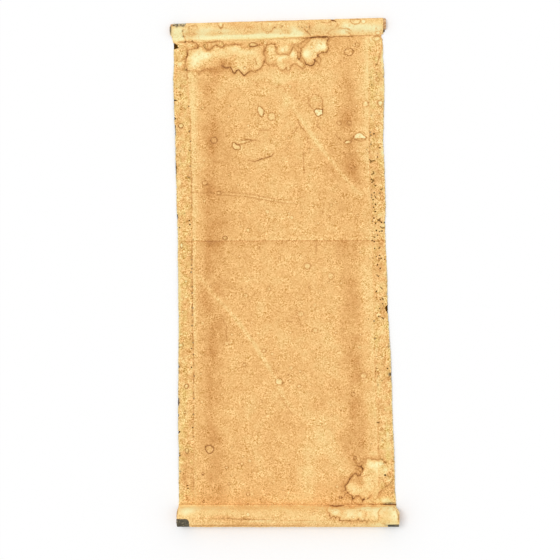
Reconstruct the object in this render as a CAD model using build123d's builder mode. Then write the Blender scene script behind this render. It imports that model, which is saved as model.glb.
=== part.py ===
from build123d import *
import os
from math import acos, atan2, cos, degrees, hypot, radians, sin

# A paper hanging scroll, lying face down with its lined back upwards.
# X runs across the sheet, +Y towards the stave at its head, +Z up.
# The origin is on the floor, under the middle of the scroll.
# All sizes are in millimetres.

os.makedirs("parts", exist_ok=True)

# Overall size and the set of the two rods
scroll_length = 713.3      # outer edge of the roller end to outer edge of the stave end
rod_skew = 7.5             # the stave has crept this far sideways against the roller
roller_diameter = 24.0
stave_width = 16.0         # the stave is a half round, flat side to the front
stave_overhang = 3.5       # each rod's sleeve stands this far past the sheet, at both ends
roller_overhang = 1.5

# Paper and cloth
front_thickness = 0.35     # picture panel and its cloth borders, each with a first lining
backing_thickness = 0.45   # the full-width lining on the back
sleeve_thickness = 0.25    # the strips that close the rods in
panel_width = 258.8        # between the two border joins
head_border = 21.1         # width of each cloth border at the stave
foot_border = 22.1         # and at the roller
foot_drift = 1.5           # the sheet was pasted this far left of the roller's middle
waist_left = 2.6           # how far each long edge bows inwards
waist_right = 4.4
edge_run_count = 6         # straight runs that a long edge is trimmed in

# Sleeves
foot_slope = 1.5           # a sleeve leaves the back this far from the roller's side
head_slope = 4.6           # and from the stave's
flange = 3.0               # flat part of a sleeve that is pasted on the back
head_slant = 4.0           # the stave's seam lies this much further down at its left end
mitre = 12.0               # length over which a sleeve widens from sheet to rod
bare_stave = 4.3           # wood left uncovered at the right end of the stave
rod_recess = 0.6           # each rod ends this far inside its sleeve
end_chamfer = 0.5          # broken edge on the ends of both rods
ramp_angle = 4.0           # arc over which a sleeve climbs the front layer's lip
roller_lip = -1.0          # front layer stops this many degrees short of the crown, here just past it
stave_lip = 25.0
roller_wrap = 30.0         # sleeve runs on this far under the roller's outer side
stave_wrap = -6.0          # and stops this far above the stave's outer corner

# Lap of the two backing sheets
lap_place = 44.5           # middle of the lap, up from the scroll's middle
lap_width = 6.0
lap_ramp = 2.0
under_roller = 4.5         # backing stops this far from the roller's axis
stave_clearance = 0.3      # and this far from the foot of the stave

# Raised lines in the backing
join_height = 0.25         # the border joins show through as low ridges
join_half_width = 1.6
crest_share = 0.2          # a ridge's crest against its foot, in width
crest_inset = 0.06         # a fold's crest stops short of its ends by this share of its length

# Places worked out from the sizes above
roller_radius = roller_diameter / 2
stave_radius = stave_width / 2
wrap_thickness = front_thickness + sleeve_thickness
roller_y = -scroll_length / 2 + roller_radius + wrap_thickness
stave_y = scroll_length / 2 - stave_radius - wrap_thickness
roller_x = rod_skew / 2
stave_x = -rod_skew / 2
foot_x = roller_x - foot_drift
stave_length = panel_width + 2 * (head_border + stave_overhang)
roller_length = panel_width + 2 * (foot_border + roller_overhang)
stave_ends = (stave_x - stave_length / 2, stave_x + stave_length / 2)
roller_ends = (roller_x - roller_length / 2, roller_x + roller_length / 2)
back_level = front_thickness + backing_thickness
foot_seam = roller_radius + foot_slope + flange
head_seam_right = stave_radius + head_slope + flange
head_seam_left = head_seam_right + head_slant
foot_seam_y = roller_y + foot_seam
head_left_y = stave_y - head_seam_left
head_right_y = stave_y - head_seam_right
lap_low = lap_place - lap_width / 2
lap_high = lap_place + lap_width / 2
trim_height = scroll_length / 10    # taller than all that a plan outline trims
trim_plane = Plane.XY.offset(-trim_height / 2)


# Worn places, read from the back: place along Y, length along the edge, depth
left_edge_wear = [
    (322.5, 9.0, 7.0),
    (245.6, 2.4, 5.0),
    (219.5, 4.0, 2.5),
    (202.0, 13.0, 2.0),
    (145.0, 17.0, 1.6),
    (120.0, 8.0, 1.6),
    (77.0, 7.0, 1.5),
    (-63.0, 2.6, 2.0),
    (-135.0, 5.0, 1.6),
    (-184.0, 11.0, 1.8),
    (-203.0, 4.0, 2.2),
    (-226.0, 5.0, 3.2),
    (-258.0, 3.0, 2.4),
]
right_edge_wear = [
    (-57.0, 11.0, 2.2),
    (-148.0, 6.0, 1.5),
]

# Insect tracks that go through the backing beside a border join: side, distance
# outwards from the join, place along Y, length, width, turn
insect_tracks = [
    (1, 0.0, 190.0, 3.4, 1.1, 35.0),
    (1, -3.9, 163.0, 4.2, 1.3, 60.0),
    (1, 1.0, 160.5, 3.8, 1.2, -40.0),
    (1, 0.1, 140.5, 4.2, 1.2, 50.0),
    (1, 1.9, 137.0, 3.0, 1.1, -60.0),
    (1, -0.4, 125.0, 3.6, 1.3, 40.0),
    (1, 1.8, 82.0, 3.4, 1.2, 85.0),
    (1, 8.3, 51.5, 5.2, 1.3, -45.0),
    (1, 11.7, 46.0, 3.8, 1.2, 20.0),
    (1, 4.6, 29.5, 3.4, 1.3, 60.0),
    (1, 8.0, -38.5, 4.4, 1.3, 55.0),
    (1, 10.5, -42.0, 3.2, 1.1, -30.0),
    (1, 8.8, -66.5, 4.2, 1.3, -50.0),
    (1, 0.6, -212.0, 2.4, 1.4, 0.0),
    (-1, -1.6, 236.0, 2.6, 1.3, 90.0),
    (-1, -0.9, 88.0, 2.8, 1.3, 80.0),
    (-1, -1.0, -94.0, 2.6, 1.2, 90.0),
]

# Folds pressed into the back: two ends, half width, height
folds = [
    ((20.0, 234.7), (113.1, 101.4), 2.6, 0.5),
    ((-124.6, -1.3), (1.2, -189.9), 2.6, 0.5),
    ((50.1, -197.1), (90.9, -277.8), 2.0, 0.3),
    ((-62.5, 107.4), (29.7, 93.0), 1.4, 0.3),
    ((-40.6, 157.1), (-12.1, 165.1), 1.1, 0.25),
]

# Corners where a sleeve has worn away: length along the rod, depth from its edge, rounding
foot_left_loss = (17.5, 13.3, 6.0)
foot_right_loss = (15.6, 5.4, 2.0)
head_left_loss = (24.0, 4.6, 2.5)
chip_place = 78.5          # chip in the sleeve's outer edge, right of the stave's middle
chip_length = 8.6
chip_depth = 2.6


def edge_x(side, y):
    """Where a long edge of the sheet lies at a place along it: side -1 left, +1 right."""
    share = y / scroll_length + 0.5
    middle = foot_x + (stave_x - foot_x) * share
    half_width = panel_width / 2 + foot_border + (head_border - foot_border) * share
    waist = waist_left if side < 0 else waist_right
    bow = waist * (1 - (2 * y / scroll_length) ** 2)
    return middle + side * (half_width - bow)


def join_x(side, y):
    """Where a border join lies at a place along it."""
    share = y / scroll_length + 0.5
    return foot_x + (stave_x - foot_x) * share + side * panel_width / 2


def line_points(kind, side):
    """Points along an edge or a border join, foot to head; an edge bows in a few straight runs."""
    place = edge_x if kind == "edge" else join_x
    runs = edge_run_count if kind == "edge" else 1
    steps = [scroll_length * (step / runs - 0.5) for step in range(runs + 1)]
    return [(place(side, y), y) for y in steps]


def sheet_outline(left, right):
    """Plan of the sheet between two lines, each 'edge' or 'join' with its side."""
    with BuildSketch(trim_plane) as outline:
        with BuildLine():
            Polyline(*line_points(*left), *reversed(line_points(*right)), close=True)
        make_face()
    return outline.sketch


def fold_level(start, end, half_width, level):
    """One level of a fold: a long slender lozenge, drawn at a height."""
    foot, tip = Vector(*start), Vector(*end)
    across = (tip - foot).normalized().rotate(Axis.Z, 90) * half_width
    middle = (foot + tip) / 2
    with BuildSketch(Plane.XY.offset(level)) as outline:
        with BuildLine():
            Polyline(foot, middle + across, tip, middle - across, close=True)
        make_face()
    return outline.sketch


def join_level(side, low, high, half_width, level):
    """One level of a border join's ridge: a long strip of even width, drawn at a height."""
    foot, tip = [Vector(join_x(side, y), y) for y in (low, high)]
    across = Vector(half_width, 0)
    with BuildSketch(Plane.XY.offset(level)) as outline:
        with BuildLine():
            Polyline(foot - across, foot + across, tip + across, tip - across, close=True)
        make_face()
    return outline.sketch


def crest_ends(start, end):
    """A fold's crest starts and ends a little inside its foot."""
    foot, tip = Vector(*start), Vector(*end)
    inset = (tip - foot) * crest_inset
    return tuple(foot + inset)[:2], tuple(tip - inset)[:2]


def rod_point(rod, radius, angle):
    """A point round a rod in the YZ section: 0 points at the sheet, 90 up, 180 outwards."""
    centre_y, centre_z, inwards = rod
    return (centre_y + inwards * radius * cos(radians(angle)),
            centre_z + radius * sin(radians(angle)))


def rod_arc(rod, radius, start, end):
    """An arc round a rod in the YZ section."""
    turn = [start, (start + end) / 2, end]
    return ThreePointArc(*[rod_point(rod, radius, angle) for angle in turn])


def sleeve_section(rod, radius, slope, seam, lip, wrap):
    """Section of a sleeve: pasted flange, straight rise, then round the rod and over the lip."""
    centre_y, centre_z, inwards = rod
    rise = radius + slope
    lip_angle = 90 + lip
    wrap_angle = 180 + wrap
    touch = []
    for lift in (0, sleeve_thickness):
        drop, reach = back_level + lift - centre_z, radius + lift
        touch.append(degrees(atan2(drop, rise) + acos(reach / hypot(rise, drop))))
    inner = [(centre_y + inwards * seam, back_level), (centre_y + inwards * rise, back_level)]
    outer = [(y, z + sleeve_thickness) for y, z in inner]
    lip_radius = radius + front_thickness
    with BuildSketch(Plane.YZ) as section:
        with BuildLine():
            Polyline(inner[0], inner[1], rod_point(rod, radius, touch[0]))
            rod_arc(rod, radius, touch[0], lip_angle - ramp_angle)
            Line(rod_point(rod, radius, lip_angle - ramp_angle), rod_point(rod, lip_radius, lip_angle))
            rod_arc(rod, lip_radius, lip_angle, wrap_angle)
            Line(rod_point(rod, lip_radius, wrap_angle),
                 rod_point(rod, lip_radius + sleeve_thickness, wrap_angle))
            rod_arc(rod, lip_radius + sleeve_thickness, wrap_angle, lip_angle)
            Line(rod_point(rod, lip_radius + sleeve_thickness, lip_angle),
                 rod_point(rod, radius + sleeve_thickness, lip_angle - ramp_angle))
            rod_arc(rod, radius + sleeve_thickness, lip_angle - ramp_angle, touch[1])
            Polyline(rod_point(rod, radius + sleeve_thickness, touch[1]), outer[1], outer[0], inner[0])
        make_face()
    return section.sketch


roller = (roller_y, front_thickness + roller_radius, 1)
stave = (stave_y, front_thickness, -1)
# every section is drawn past both rods, then trimmed
half_span = max(stave_length, roller_length) / 2 + rod_skew


# Front layer: flat on the floor, rolled up round each rod and stopping at a lip
with BuildSketch(Plane.YZ) as front_section:
    with BuildLine():
        corner_y = stave_y + stave_radius
        Polyline((roller_y, 0), (corner_y, 0), (corner_y + front_thickness, front_thickness))
        rod_arc(stave, stave_radius + front_thickness, 180, 90 + stave_lip)
        Line(rod_point(stave, stave_radius + front_thickness, 90 + stave_lip),
             rod_point(stave, stave_radius, 90 + stave_lip))
        rod_arc(stave, stave_radius, 90 + stave_lip, 180)
        Line((corner_y, front_thickness), (roller_y, front_thickness))
        rod_arc(roller, roller_radius, 270, 90 + roller_lip)
        Line(rod_point(roller, roller_radius, 90 + roller_lip),
             rod_point(roller, roller_radius + front_thickness, 90 + roller_lip))
        rod_arc(roller, roller_radius + front_thickness, 90 + roller_lip, 270)
    make_face()

front_strips = {
    "left_border_cloth": (("edge", -1), ("join", -1)),
    "front_panel": (("join", -1), ("join", 1)),
    "right_border_cloth": (("join", 1), ("edge", 1)),
}
for strip_name, (left_line, right_line) in front_strips.items():
    with BuildPart() as front_strip:
        extrude(front_section.sketch, amount=half_span, both=True)
        extrude(sheet_outline(left_line, right_line), amount=trim_height, mode=Mode.INTERSECT)
    front_strip.part.label = strip_name
    export_step(front_strip.part, f"parts/{strip_name}.step")


# Backing: two sheets pasted over the whole back, the upper one lapped over the lower
lower_start = roller_y + under_roller
upper_end = stave_y - stave_radius - stave_clearance
lap_top = back_level + backing_thickness

with BuildSketch(Plane.YZ) as lower_section:
    with BuildLine():
        Polyline((lower_start, front_thickness), (lap_high, front_thickness),
                 (lap_high, back_level), (lower_start, back_level), close=True)
    make_face()

with BuildSketch(Plane.YZ) as upper_section:
    with BuildLine():
        Polyline((lap_low, back_level), (lap_high, back_level),
                 (lap_high + lap_ramp, front_thickness), (upper_end, front_thickness),
                 (upper_end, back_level), (lap_high + lap_ramp, back_level),
                 (lap_high, lap_top), (lap_low, lap_top), close=True)
    make_face()

with BuildSketch(trim_plane) as losses:
    for side, wear in ((-1, left_edge_wear), (1, right_edge_wear)):
        for place, length, depth in wear:
            with Locations((edge_x(side, place), place)):
                Ellipse(depth, length / 2)
    for side, outwards, place, length, width, turn in insect_tracks:
        with Locations((join_x(side, place) + side * outwards, place)):
            SlotOverall(length, width, rotation=turn)

# Each sheet: its name, section, the stretch that its joins run, and the span of its folds
backing_sheets = [
    ("lower_backing_sheet", lower_section, foot_seam_y, lap_low, (lower_start, lap_low)),
    ("upper_backing_sheet", upper_section, lap_high + lap_ramp, head_left_y, (lap_high, upper_end)),
]
for sheet_name, section, join_low, join_high, span in backing_sheets:
    with BuildPart() as backing:
        extrude(section.sketch, amount=half_span, both=True)
        extrude(sheet_outline(("edge", -1), ("edge", 1)), amount=trim_height, mode=Mode.INTERSECT)
        for side in (-1, 1):
            loft([
                join_level(side, join_low, join_high, join_half_width, back_level),
                join_level(side, join_low, join_high, join_half_width * crest_share,
                           back_level + join_height),
            ], ruled=True)
        for start, end, half_width, height in folds:
            if not span[0] < min(start[1], end[1]) < span[1]:
                continue
            crest_start, crest_end = crest_ends(start, end)
            # raised on the back and hollow beneath, so that the paper keeps its thickness
            for level, mode in ((back_level, Mode.ADD), (front_thickness, Mode.SUBTRACT)):
                loft([
                    fold_level(start, end, half_width, level),
                    fold_level(crest_start, crest_end, half_width * crest_share, level + height),
                ], ruled=True, mode=mode)
        extrude(losses.sketch, amount=trim_height, mode=Mode.SUBTRACT)
    backing.part.label = sheet_name
    export_step(backing.part, f"parts/{sheet_name}.step")


# Roller, a plain turned rod
with BuildPart() as bottom_roller:
    with BuildSketch(Plane.YZ.offset(roller_x)):
        with Locations((roller_y, front_thickness + roller_radius)):
            Circle(roller_radius)
    extrude(amount=roller_length / 2 - rod_recess, both=True)
    chamfer(bottom_roller.edges().filter_by(GeomType.CIRCLE), end_chamfer)
bottom_roller.part.label = "bottom_roller"
export_step(bottom_roller.part, "parts/bottom_roller.step")

# Stave, a half-round slat; its right end stands bare out of the sleeve
with BuildPart() as top_stave:
    with BuildSketch(Plane.YZ.offset(stave_ends[0] + rod_recess)):
        with BuildLine():
            rod_arc(stave, stave_radius, 0, 180)
            Line(rod_point(stave, stave_radius, 0), rod_point(stave, stave_radius, 180))
        make_face()
    extrude(amount=stave_length - rod_recess)
    chamfer(top_stave.faces().filter_by(Axis.X).edges().filter_by(GeomType.CIRCLE), end_chamfer)
top_stave.part.label = "top_stave"
export_step(top_stave.part, "parts/top_stave.step")


# Sleeves: paper strips pasted to the back, drawn over each rod and down its outer side
head_sleeve_ends = (stave_ends[0], stave_ends[1] - bare_stave)
foot_edge_y = -scroll_length / 2
head_edge_y = scroll_length / 2

with BuildPart() as bottom_sleeve:
    extrude(sleeve_section(roller, roller_radius, foot_slope, foot_seam, roller_lip, roller_wrap),
            amount=half_span, both=True)
    with BuildSketch(trim_plane) as foot_plan:
        with BuildLine():
            Polyline((edge_x(-1, foot_seam_y), foot_seam_y), (roller_ends[0], foot_seam_y - mitre),
                     (roller_ends[0], foot_edge_y), (roller_ends[1], foot_edge_y),
                     (roller_ends[1], foot_seam_y - mitre), (edge_x(1, foot_seam_y), foot_seam_y), close=True)
        make_face()
    extrude(foot_plan.sketch, amount=trim_height, mode=Mode.INTERSECT)
    with BuildSketch(trim_plane) as foot_losses:
        for end, (length, depth, corner) in zip(roller_ends, (foot_left_loss, foot_right_loss)):
            with Locations((end, foot_edge_y)):
                RectangleRounded(2 * length, 2 * depth, corner)
    extrude(foot_losses.sketch, amount=trim_height, mode=Mode.SUBTRACT)
bottom_sleeve.part.label = "bottom_sleeve"
export_step(bottom_sleeve.part, "parts/bottom_sleeve.step")

with BuildPart() as top_sleeve:
    extrude(sleeve_section(stave, stave_radius, head_slope, head_seam_left, stave_lip, stave_wrap),
            amount=half_span, both=True)
    with BuildSketch(trim_plane) as head_plan:
        with BuildLine():
            Polyline((edge_x(-1, head_left_y), head_left_y), (head_sleeve_ends[0], head_left_y + mitre),
                     (head_sleeve_ends[0], head_edge_y), (head_sleeve_ends[1], head_edge_y),
                     (head_sleeve_ends[1], head_right_y + mitre),
                     (edge_x(1, head_right_y), head_right_y), close=True)
        make_face()
    extrude(head_plan.sketch, amount=trim_height, mode=Mode.INTERSECT)
    length, depth, corner = head_left_loss
    with BuildSketch(trim_plane) as head_losses:
        with Locations((head_sleeve_ends[0], head_edge_y)):
            RectangleRounded(2 * length, 2 * depth, corner)
        with Locations((stave_x + chip_place, head_edge_y)):
            Ellipse(chip_length / 2, chip_depth)
    extrude(head_losses.sketch, amount=trim_height, mode=Mode.SUBTRACT)
top_sleeve.part.label = "top_sleeve"
export_step(top_sleeve.part, "parts/top_sleeve.step")
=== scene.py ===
import math

import bpy
import numpy as np
from mathutils import Matrix, Vector, kdtree
from mathutils.geometry import delaunay_2d_cdt


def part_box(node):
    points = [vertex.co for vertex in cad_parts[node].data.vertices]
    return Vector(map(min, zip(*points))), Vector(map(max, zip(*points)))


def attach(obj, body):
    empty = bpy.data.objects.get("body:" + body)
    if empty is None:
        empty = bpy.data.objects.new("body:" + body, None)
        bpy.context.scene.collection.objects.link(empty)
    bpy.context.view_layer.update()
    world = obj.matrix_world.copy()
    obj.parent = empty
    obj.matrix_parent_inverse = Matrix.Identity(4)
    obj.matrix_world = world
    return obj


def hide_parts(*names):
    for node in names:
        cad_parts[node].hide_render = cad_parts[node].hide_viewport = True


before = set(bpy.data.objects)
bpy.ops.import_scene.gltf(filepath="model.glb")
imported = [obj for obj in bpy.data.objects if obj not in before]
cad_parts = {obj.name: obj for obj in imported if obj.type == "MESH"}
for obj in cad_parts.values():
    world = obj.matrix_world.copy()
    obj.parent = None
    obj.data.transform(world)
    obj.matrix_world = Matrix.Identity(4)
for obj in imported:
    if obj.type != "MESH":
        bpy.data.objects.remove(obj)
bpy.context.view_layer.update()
mm = 0.001

# Everything below is in millimetres until a mesh is written.
# X runs across the scroll, +Y towards the stave at its head, +Z up from the floor.

# The photograph's camera: places marked "px" below are read off its 560 pixel frame
photo = {
    "frame": 560,
    "lens": 65.0,
    "sensor": 36.0,
    "eye": (73.83, -86.84, 1423.86),
    "turn": (-2.882, -3.161, 0.605),  # degrees about X, Y and Z
    "backLevel": 0.8,  # height of the back above the floor
}

focus = photo["lens"] / photo["sensor"] * photo["frame"]
turnX, turnY, turnZ = [Matrix.Rotation(math.radians(a), 3, axis) for a, axis in zip(photo["turn"], "XYZ")]
toView = np.array(turnX @ turnY @ turnZ)
eye = np.array(photo["eye"])
pixel = (eye[2] - photo["backLevel"]) / focus  # size of a pixel on the back


def seenAt(x, y, z):
    # where a point of the scroll shows in the photograph
    rel = np.stack(np.broadcast_arrays(x, y, z), -1) - eye
    across, up, depth = np.moveaxis(rel @ toView.T, -1, 0)
    half = photo["frame"] / 2
    return half - focus * across / depth, half + focus * up / depth


def onBack(px, py):
    # the place on the back that a point of the photograph shows
    half = photo["frame"] / 2
    ray = np.stack([(np.asarray(px) - half) / focus, (half - np.asarray(py)) / focus,
                    -np.ones(np.shape(px))], -1) @ toView
    reach = (photo["backLevel"] - eye[2]) / ray[..., 2]
    return eye[0] + reach * ray[..., 0], eye[1] + reach * ray[..., 1]


def smooth(low, high, x):
    t = np.clip((x - low) / (high - low), 0, 1)
    return t * t * (3 - 2 * t)


def wander(x, y, size, seed, count=64):
    # soft noise from -1 to 1, with hills about size across
    table = np.random.default_rng(seed).uniform(-1, 1, (count, count))
    gx, gy = np.asarray(x) / size, np.asarray(y) / size
    ix, iy = np.floor(gx).astype(int), np.floor(gy).astype(int)
    fx, fy = gx - ix, gy - iy
    fx, fy = fx * fx * (3 - 2 * fx), fy * fy * (3 - 2 * fy)
    near = [table[(ix + i) % count, (iy + j) % count] for i, j in ((0, 0), (1, 0), (0, 1), (1, 1))]
    low = near[0] * (1 - fx) + near[1] * fx
    high = near[2] * (1 - fx) + near[3] * fx
    return low * (1 - fy) + high * fy


# Plan of the laminate, as the solids have it
sheet = {
    "length": 713.3,
    "panel": 258.8,  # between the two border joins
    "headBorder": 21.1,
    "footBorder": 22.1,
    "footX": 2.25,  # middle of the sheet at the roller and at the stave
    "headX": -3.75,
    "waist": {-1: 2.6, 1: 4.4},  # how far each long edge bows inwards
    "swell": {  # and bulges outwards, as worn: place along it, amount
        -1: [(-311, .9), (-275, .8), (-250, .3), (-230, 1.3), (-185, 1.4), (-122, .6), (-80, -.3), (26, 0),
             (47, -.8), (89, .8), (110, .4), (152, 1.2), (195, .6), (215, 1.4), (280, 1.8), (300, .2)],
        1: [(-345, 3.4), (-330, 1.6), (-311, 1.1), (-290, 1.4), (-250, 2.0), (-190, 1.9), (-165, 2.6),
            (-122, 2.6), (-100, 1.5), (-60, .6), (0, 1.0), (25, 0), (65, -.3), (90, 1.0), (150, .1),
            (175, -1), (215, .4), (235, 1.4), (280, 1.4), (300, -.2), (325, .5)]},
    "front": 0.35,
    "backing": 0.45,
    "sleeve": 0.25,
    "gap": 0.02,  # air between two sheets
    "cockle": 1.5,  # how far the paper lifts off the floor
    "hollows": {-1: 24.0, 1: 22.0},  # two long soft hollows, this far inside the joins
    "pinned": 22.0,  # flat again this close to a rod
    "edgeStep": 0.7,  # the backing's long edges are cut in steps of this length
    "fray": 0.45,  # and are this ragged
}


def boxOf(node):
    low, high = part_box(node)
    return np.array(low) / mm, np.array(high) / mm


rollerLow, rollerHigh = boxOf("bottom_roller")
staveLow, staveHigh = boxOf("top_stave")
rollerY, rollerZ = (rollerLow[1] + rollerHigh[1]) / 2, (rollerLow[2] + rollerHigh[2]) / 2
rollerRadius = (rollerHigh[2] - rollerLow[2]) / 2
staveY, staveZ = (staveLow[1] + staveHigh[1]) / 2, staveLow[2]
staveRadius = (staveHigh[1] - staveLow[1]) / 2
backLevel = sheet["front"] + sheet["backing"]


def middleX(y):
    share = y / sheet["length"] + 0.5
    return sheet["footX"] + (sheet["headX"] - sheet["footX"]) * share


def joinX(side, y):
    return middleX(y) + side * sheet["panel"] / 2


def edgeX(side, y):
    share = y / sheet["length"] + 0.5
    half = sheet["panel"] / 2 + sheet["footBorder"] + (sheet["headBorder"] - sheet["footBorder"]) * share
    bow = sheet["waist"][side] * (1 - (2 * y / sheet["length"]) ** 2)
    swell = np.interp(y, *np.array(sheet["swell"][side]).T)
    return middleX(y) + side * (half - bow + swell)


def cockle(x, y):
    # the whole laminate waves a little, and lies flat beside both rods
    waves = 0
    draw = np.random.default_rng(11)
    for step in range(14):
        size = draw.uniform(70, 240)
        heading = draw.normal(0, 0.5) + (math.pi / 2 if step % 3 == 0 else 0)
        along = x * math.cos(heading) + y * math.sin(heading)
        waves = waves + size / 240 * np.sin(2 * math.pi * along / size + draw.uniform(0, 2 * math.pi))
    for side, place in sheet["hollows"].items():
        off = side * (joinX(side, y) - x) - place
        waves = waves - 1.6 * np.exp(-(off / 12) ** 2) * (0.7 + 0.5 * wander(x * 0, y, 70, 5 + side))
    held = smooth(rollerY + sheet["pinned"], rollerY + 4 * sheet["pinned"], y)
    held = held * smooth(staveY - sheet["pinned"], staveY - 4 * sheet["pinned"], y)
    return sheet["cockle"] * held * (0.5 + 0.5 * np.tanh(waves / 3))


# Marks on the back, all in px. Each line is a list of (x, y, darkness)
backMarks = {}

# closed tide lines: how pale the inside is, then the outline
backMarks["stains"] = [
    (0.50, [(188, 50, .5), (187.5, 54, .7), (186, 60, .4), (185, 64, .5), (185, 68, .7), (187, 70.5, .8),
     (190, 71, .6), (194, 70, .3), (198, 71, .4), (200.5, 72, .6), (202, 70.5, .5), (206, 69, .2),
     (212, 68.5, .2), (217, 66.5, .1), (221, 65, .5), (223.5, 66, 1), (225, 67.8, 1), (229, 67.3, 1.1),
     (231, 67.5, 1.2), (232.5, 71, 1.5), (234.5, 73.3, 1.7), (236, 71.5, 1.5), (238.2, 69.6, 1.4),
     (240.5, 72, 1.4), (244, 75.7, 1.5), (247, 73, 1.3), (251, 71, .8), (255, 72.3, .8), (258, 69.5, .8),
     (260.5, 68.7, .8), (262, 65.8, .8), (263.5, 63.5, .8), (264.5, 61, .9), (265.3, 57, .3), (264, 54, .5),
     (263.5, 50, .6), (264.5, 47, .5), (262, 45, .4), (257.5, 45.5, .4), (254, 47, .5), (250, 46.7, .6),
     (243, 48, .1), (240, 45.5, .5), (236, 44.3, .7), (230, 44.8, .5), (226, 45, .6), (223.5, 46.3, .9),
     (222, 47.8, .9), (220.5, 47.8, .9), (218.5, 46.3, .9), (216.5, 44.6, .9), (214, 46.5, .9),
     (212, 48.5, .8), (210, 50, .8), (207, 50.5, .5), (205, 48.5, .6), (203.8, 46, .5), (201, 46, .1),
     (198.5, 47, .6), (197.3, 48.2, .7), (194, 48.7, .7), (190, 49.5, .5)]),
    (0.45, [(265.5, 48.5, .8), (266.5, 46.5, .8), (268, 44.5, .6), (272, 44, .7), (274.5, 44.5, .8),
     (275.6, 47, .9), (276, 51, .5), (278, 54, .6), (280, 55.3, .6), (284, 54.2, .6), (288.5, 55, .7),
     (291, 52, .8), (292.3, 48, .9), (293.5, 46, .3), (296, 50, .4), (297.5, 54, .7), (298, 58.5, .8),
     (300, 60, .7), (302, 62, .7), (304.5, 64.5, .6), (305.5, 67, .5), (303.5, 68.3, .7), (302, 68.5, .8),
     (300, 66.8, .7), (297, 64.5, .5), (294, 64, .6), (291, 66, .6), (290.3, 69, .8), (288.5, 71.3, .5),
     (286.7, 69.5, .7), (286, 67.3, .8), (284.5, 68.8, .8), (282.5, 70, .6), (280, 69.5, .4), (277.5, 67, .5),
     (276, 64, .3), (273.4, 66.5, .7), (273, 63.5, .6), (269.5, 65.3, .7), (267, 64, .6), (264.7, 61.5, .8),
     (265.2, 57, .3), (264, 53, .5)]),
    (0.75, [(311, 38, .4), (328, 37.5, .6), (329.3, 38.5, .9), (327.5, 40.5, .9), (326.5, 43, .7),
     (328, 46, .8), (328.5, 48, .9), (327.5, 50.5, 1), (326.5, 52.2, 1), (322, 52.6, 1), (318.5, 54, 1),
     (317.5, 55.5, .9), (316.5, 58, .1), (314, 59.7, 1.2), (315, 62, 1.4), (314, 64, 1.5), (311.5, 66, 1.5),
     (309, 65.3, 1.3), (306, 64, 1.4), (305, 61.5, 1.1), (304, 59, .5), (301.5, 56, .4), (300.8, 52, .5),
     (302, 48, .5), (305, 45.5, .3), (308.5, 42, .4)]),
    (0.65, [(366, 459, .5), (369, 458, .4), (372, 459.5, .6), (375, 459.3, .6), (378, 460.3, .7),
     (380.5, 459, .5), (382, 459.2, .8), (383.5, 461, .5), (385.5, 462.5, .6), (387, 465.5, .6),
     (388.5, 469, .3), (388, 474, .1), (385.5, 480, .1), (384.5, 486, .2), (381.5, 490.5, .4), (379, 493, .5),
     (377.8, 496.5, .5), (376.3, 499.5, .4), (373, 498, .1), (371, 495, .3), (368.5, 498.3, .8),
     (366, 500, .2), (364, 498.8, .8), (363, 500.5, 1.3), (361.5, 499, 1), (360.5, 496.5, .6),
     (358.5, 495.3, .8), (355.5, 496.5, .8), (354, 498.3, 1.3), (352.5, 498.5, 1.4), (351.5, 495.5, 1.1),
     (349.5, 494, 1), (347.5, 493, .8), (346, 491, .3), (345.2, 488, 1.2), (345.5, 485, 1.4),
     (347.2, 483.5, 1.4), (348.8, 481, 1.4), (350, 478.8, 1.4), (351.5, 477, 1), (353, 475, .8),
     (354.5, 473.5, .8), (356, 473.8, .8), (358.3, 476.2, .9), (360.5, 474, .8), (362, 472, .8),
     (363, 469, 1), (361, 466.5, 1), (362, 464, .4), (365.5, 463, .6)]),
    (0.45, [(328.5, 506.5, .1), (327, 511, .3), (329.5, 514, .8), (330.6, 518.3, .9), (332, 517.8, .9),
     (333.5, 516.2, .9), (335.5, 517.6, 1), (337, 516.5, .8), (339.4, 518, .8), (339.7, 521, 1),
     (343, 521, .8), (345, 520.6, .7), (349.5, 520.5, .9), (352, 521.3, .6), (356, 521, .7),
     (358.5, 518.8, 1), (359.5, 520.8, .8), (363, 521.2, .9), (364, 520, .8), (365.8, 520.5, .8),
     (367, 522.6, .9), (368.2, 520, .7), (370, 521.3, .4), (378, 521.3, .5), (378.8, 516, .3),
     (377.8, 513, .5), (379.3, 510.4, .5), (383, 507, .1)]),
]

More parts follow.
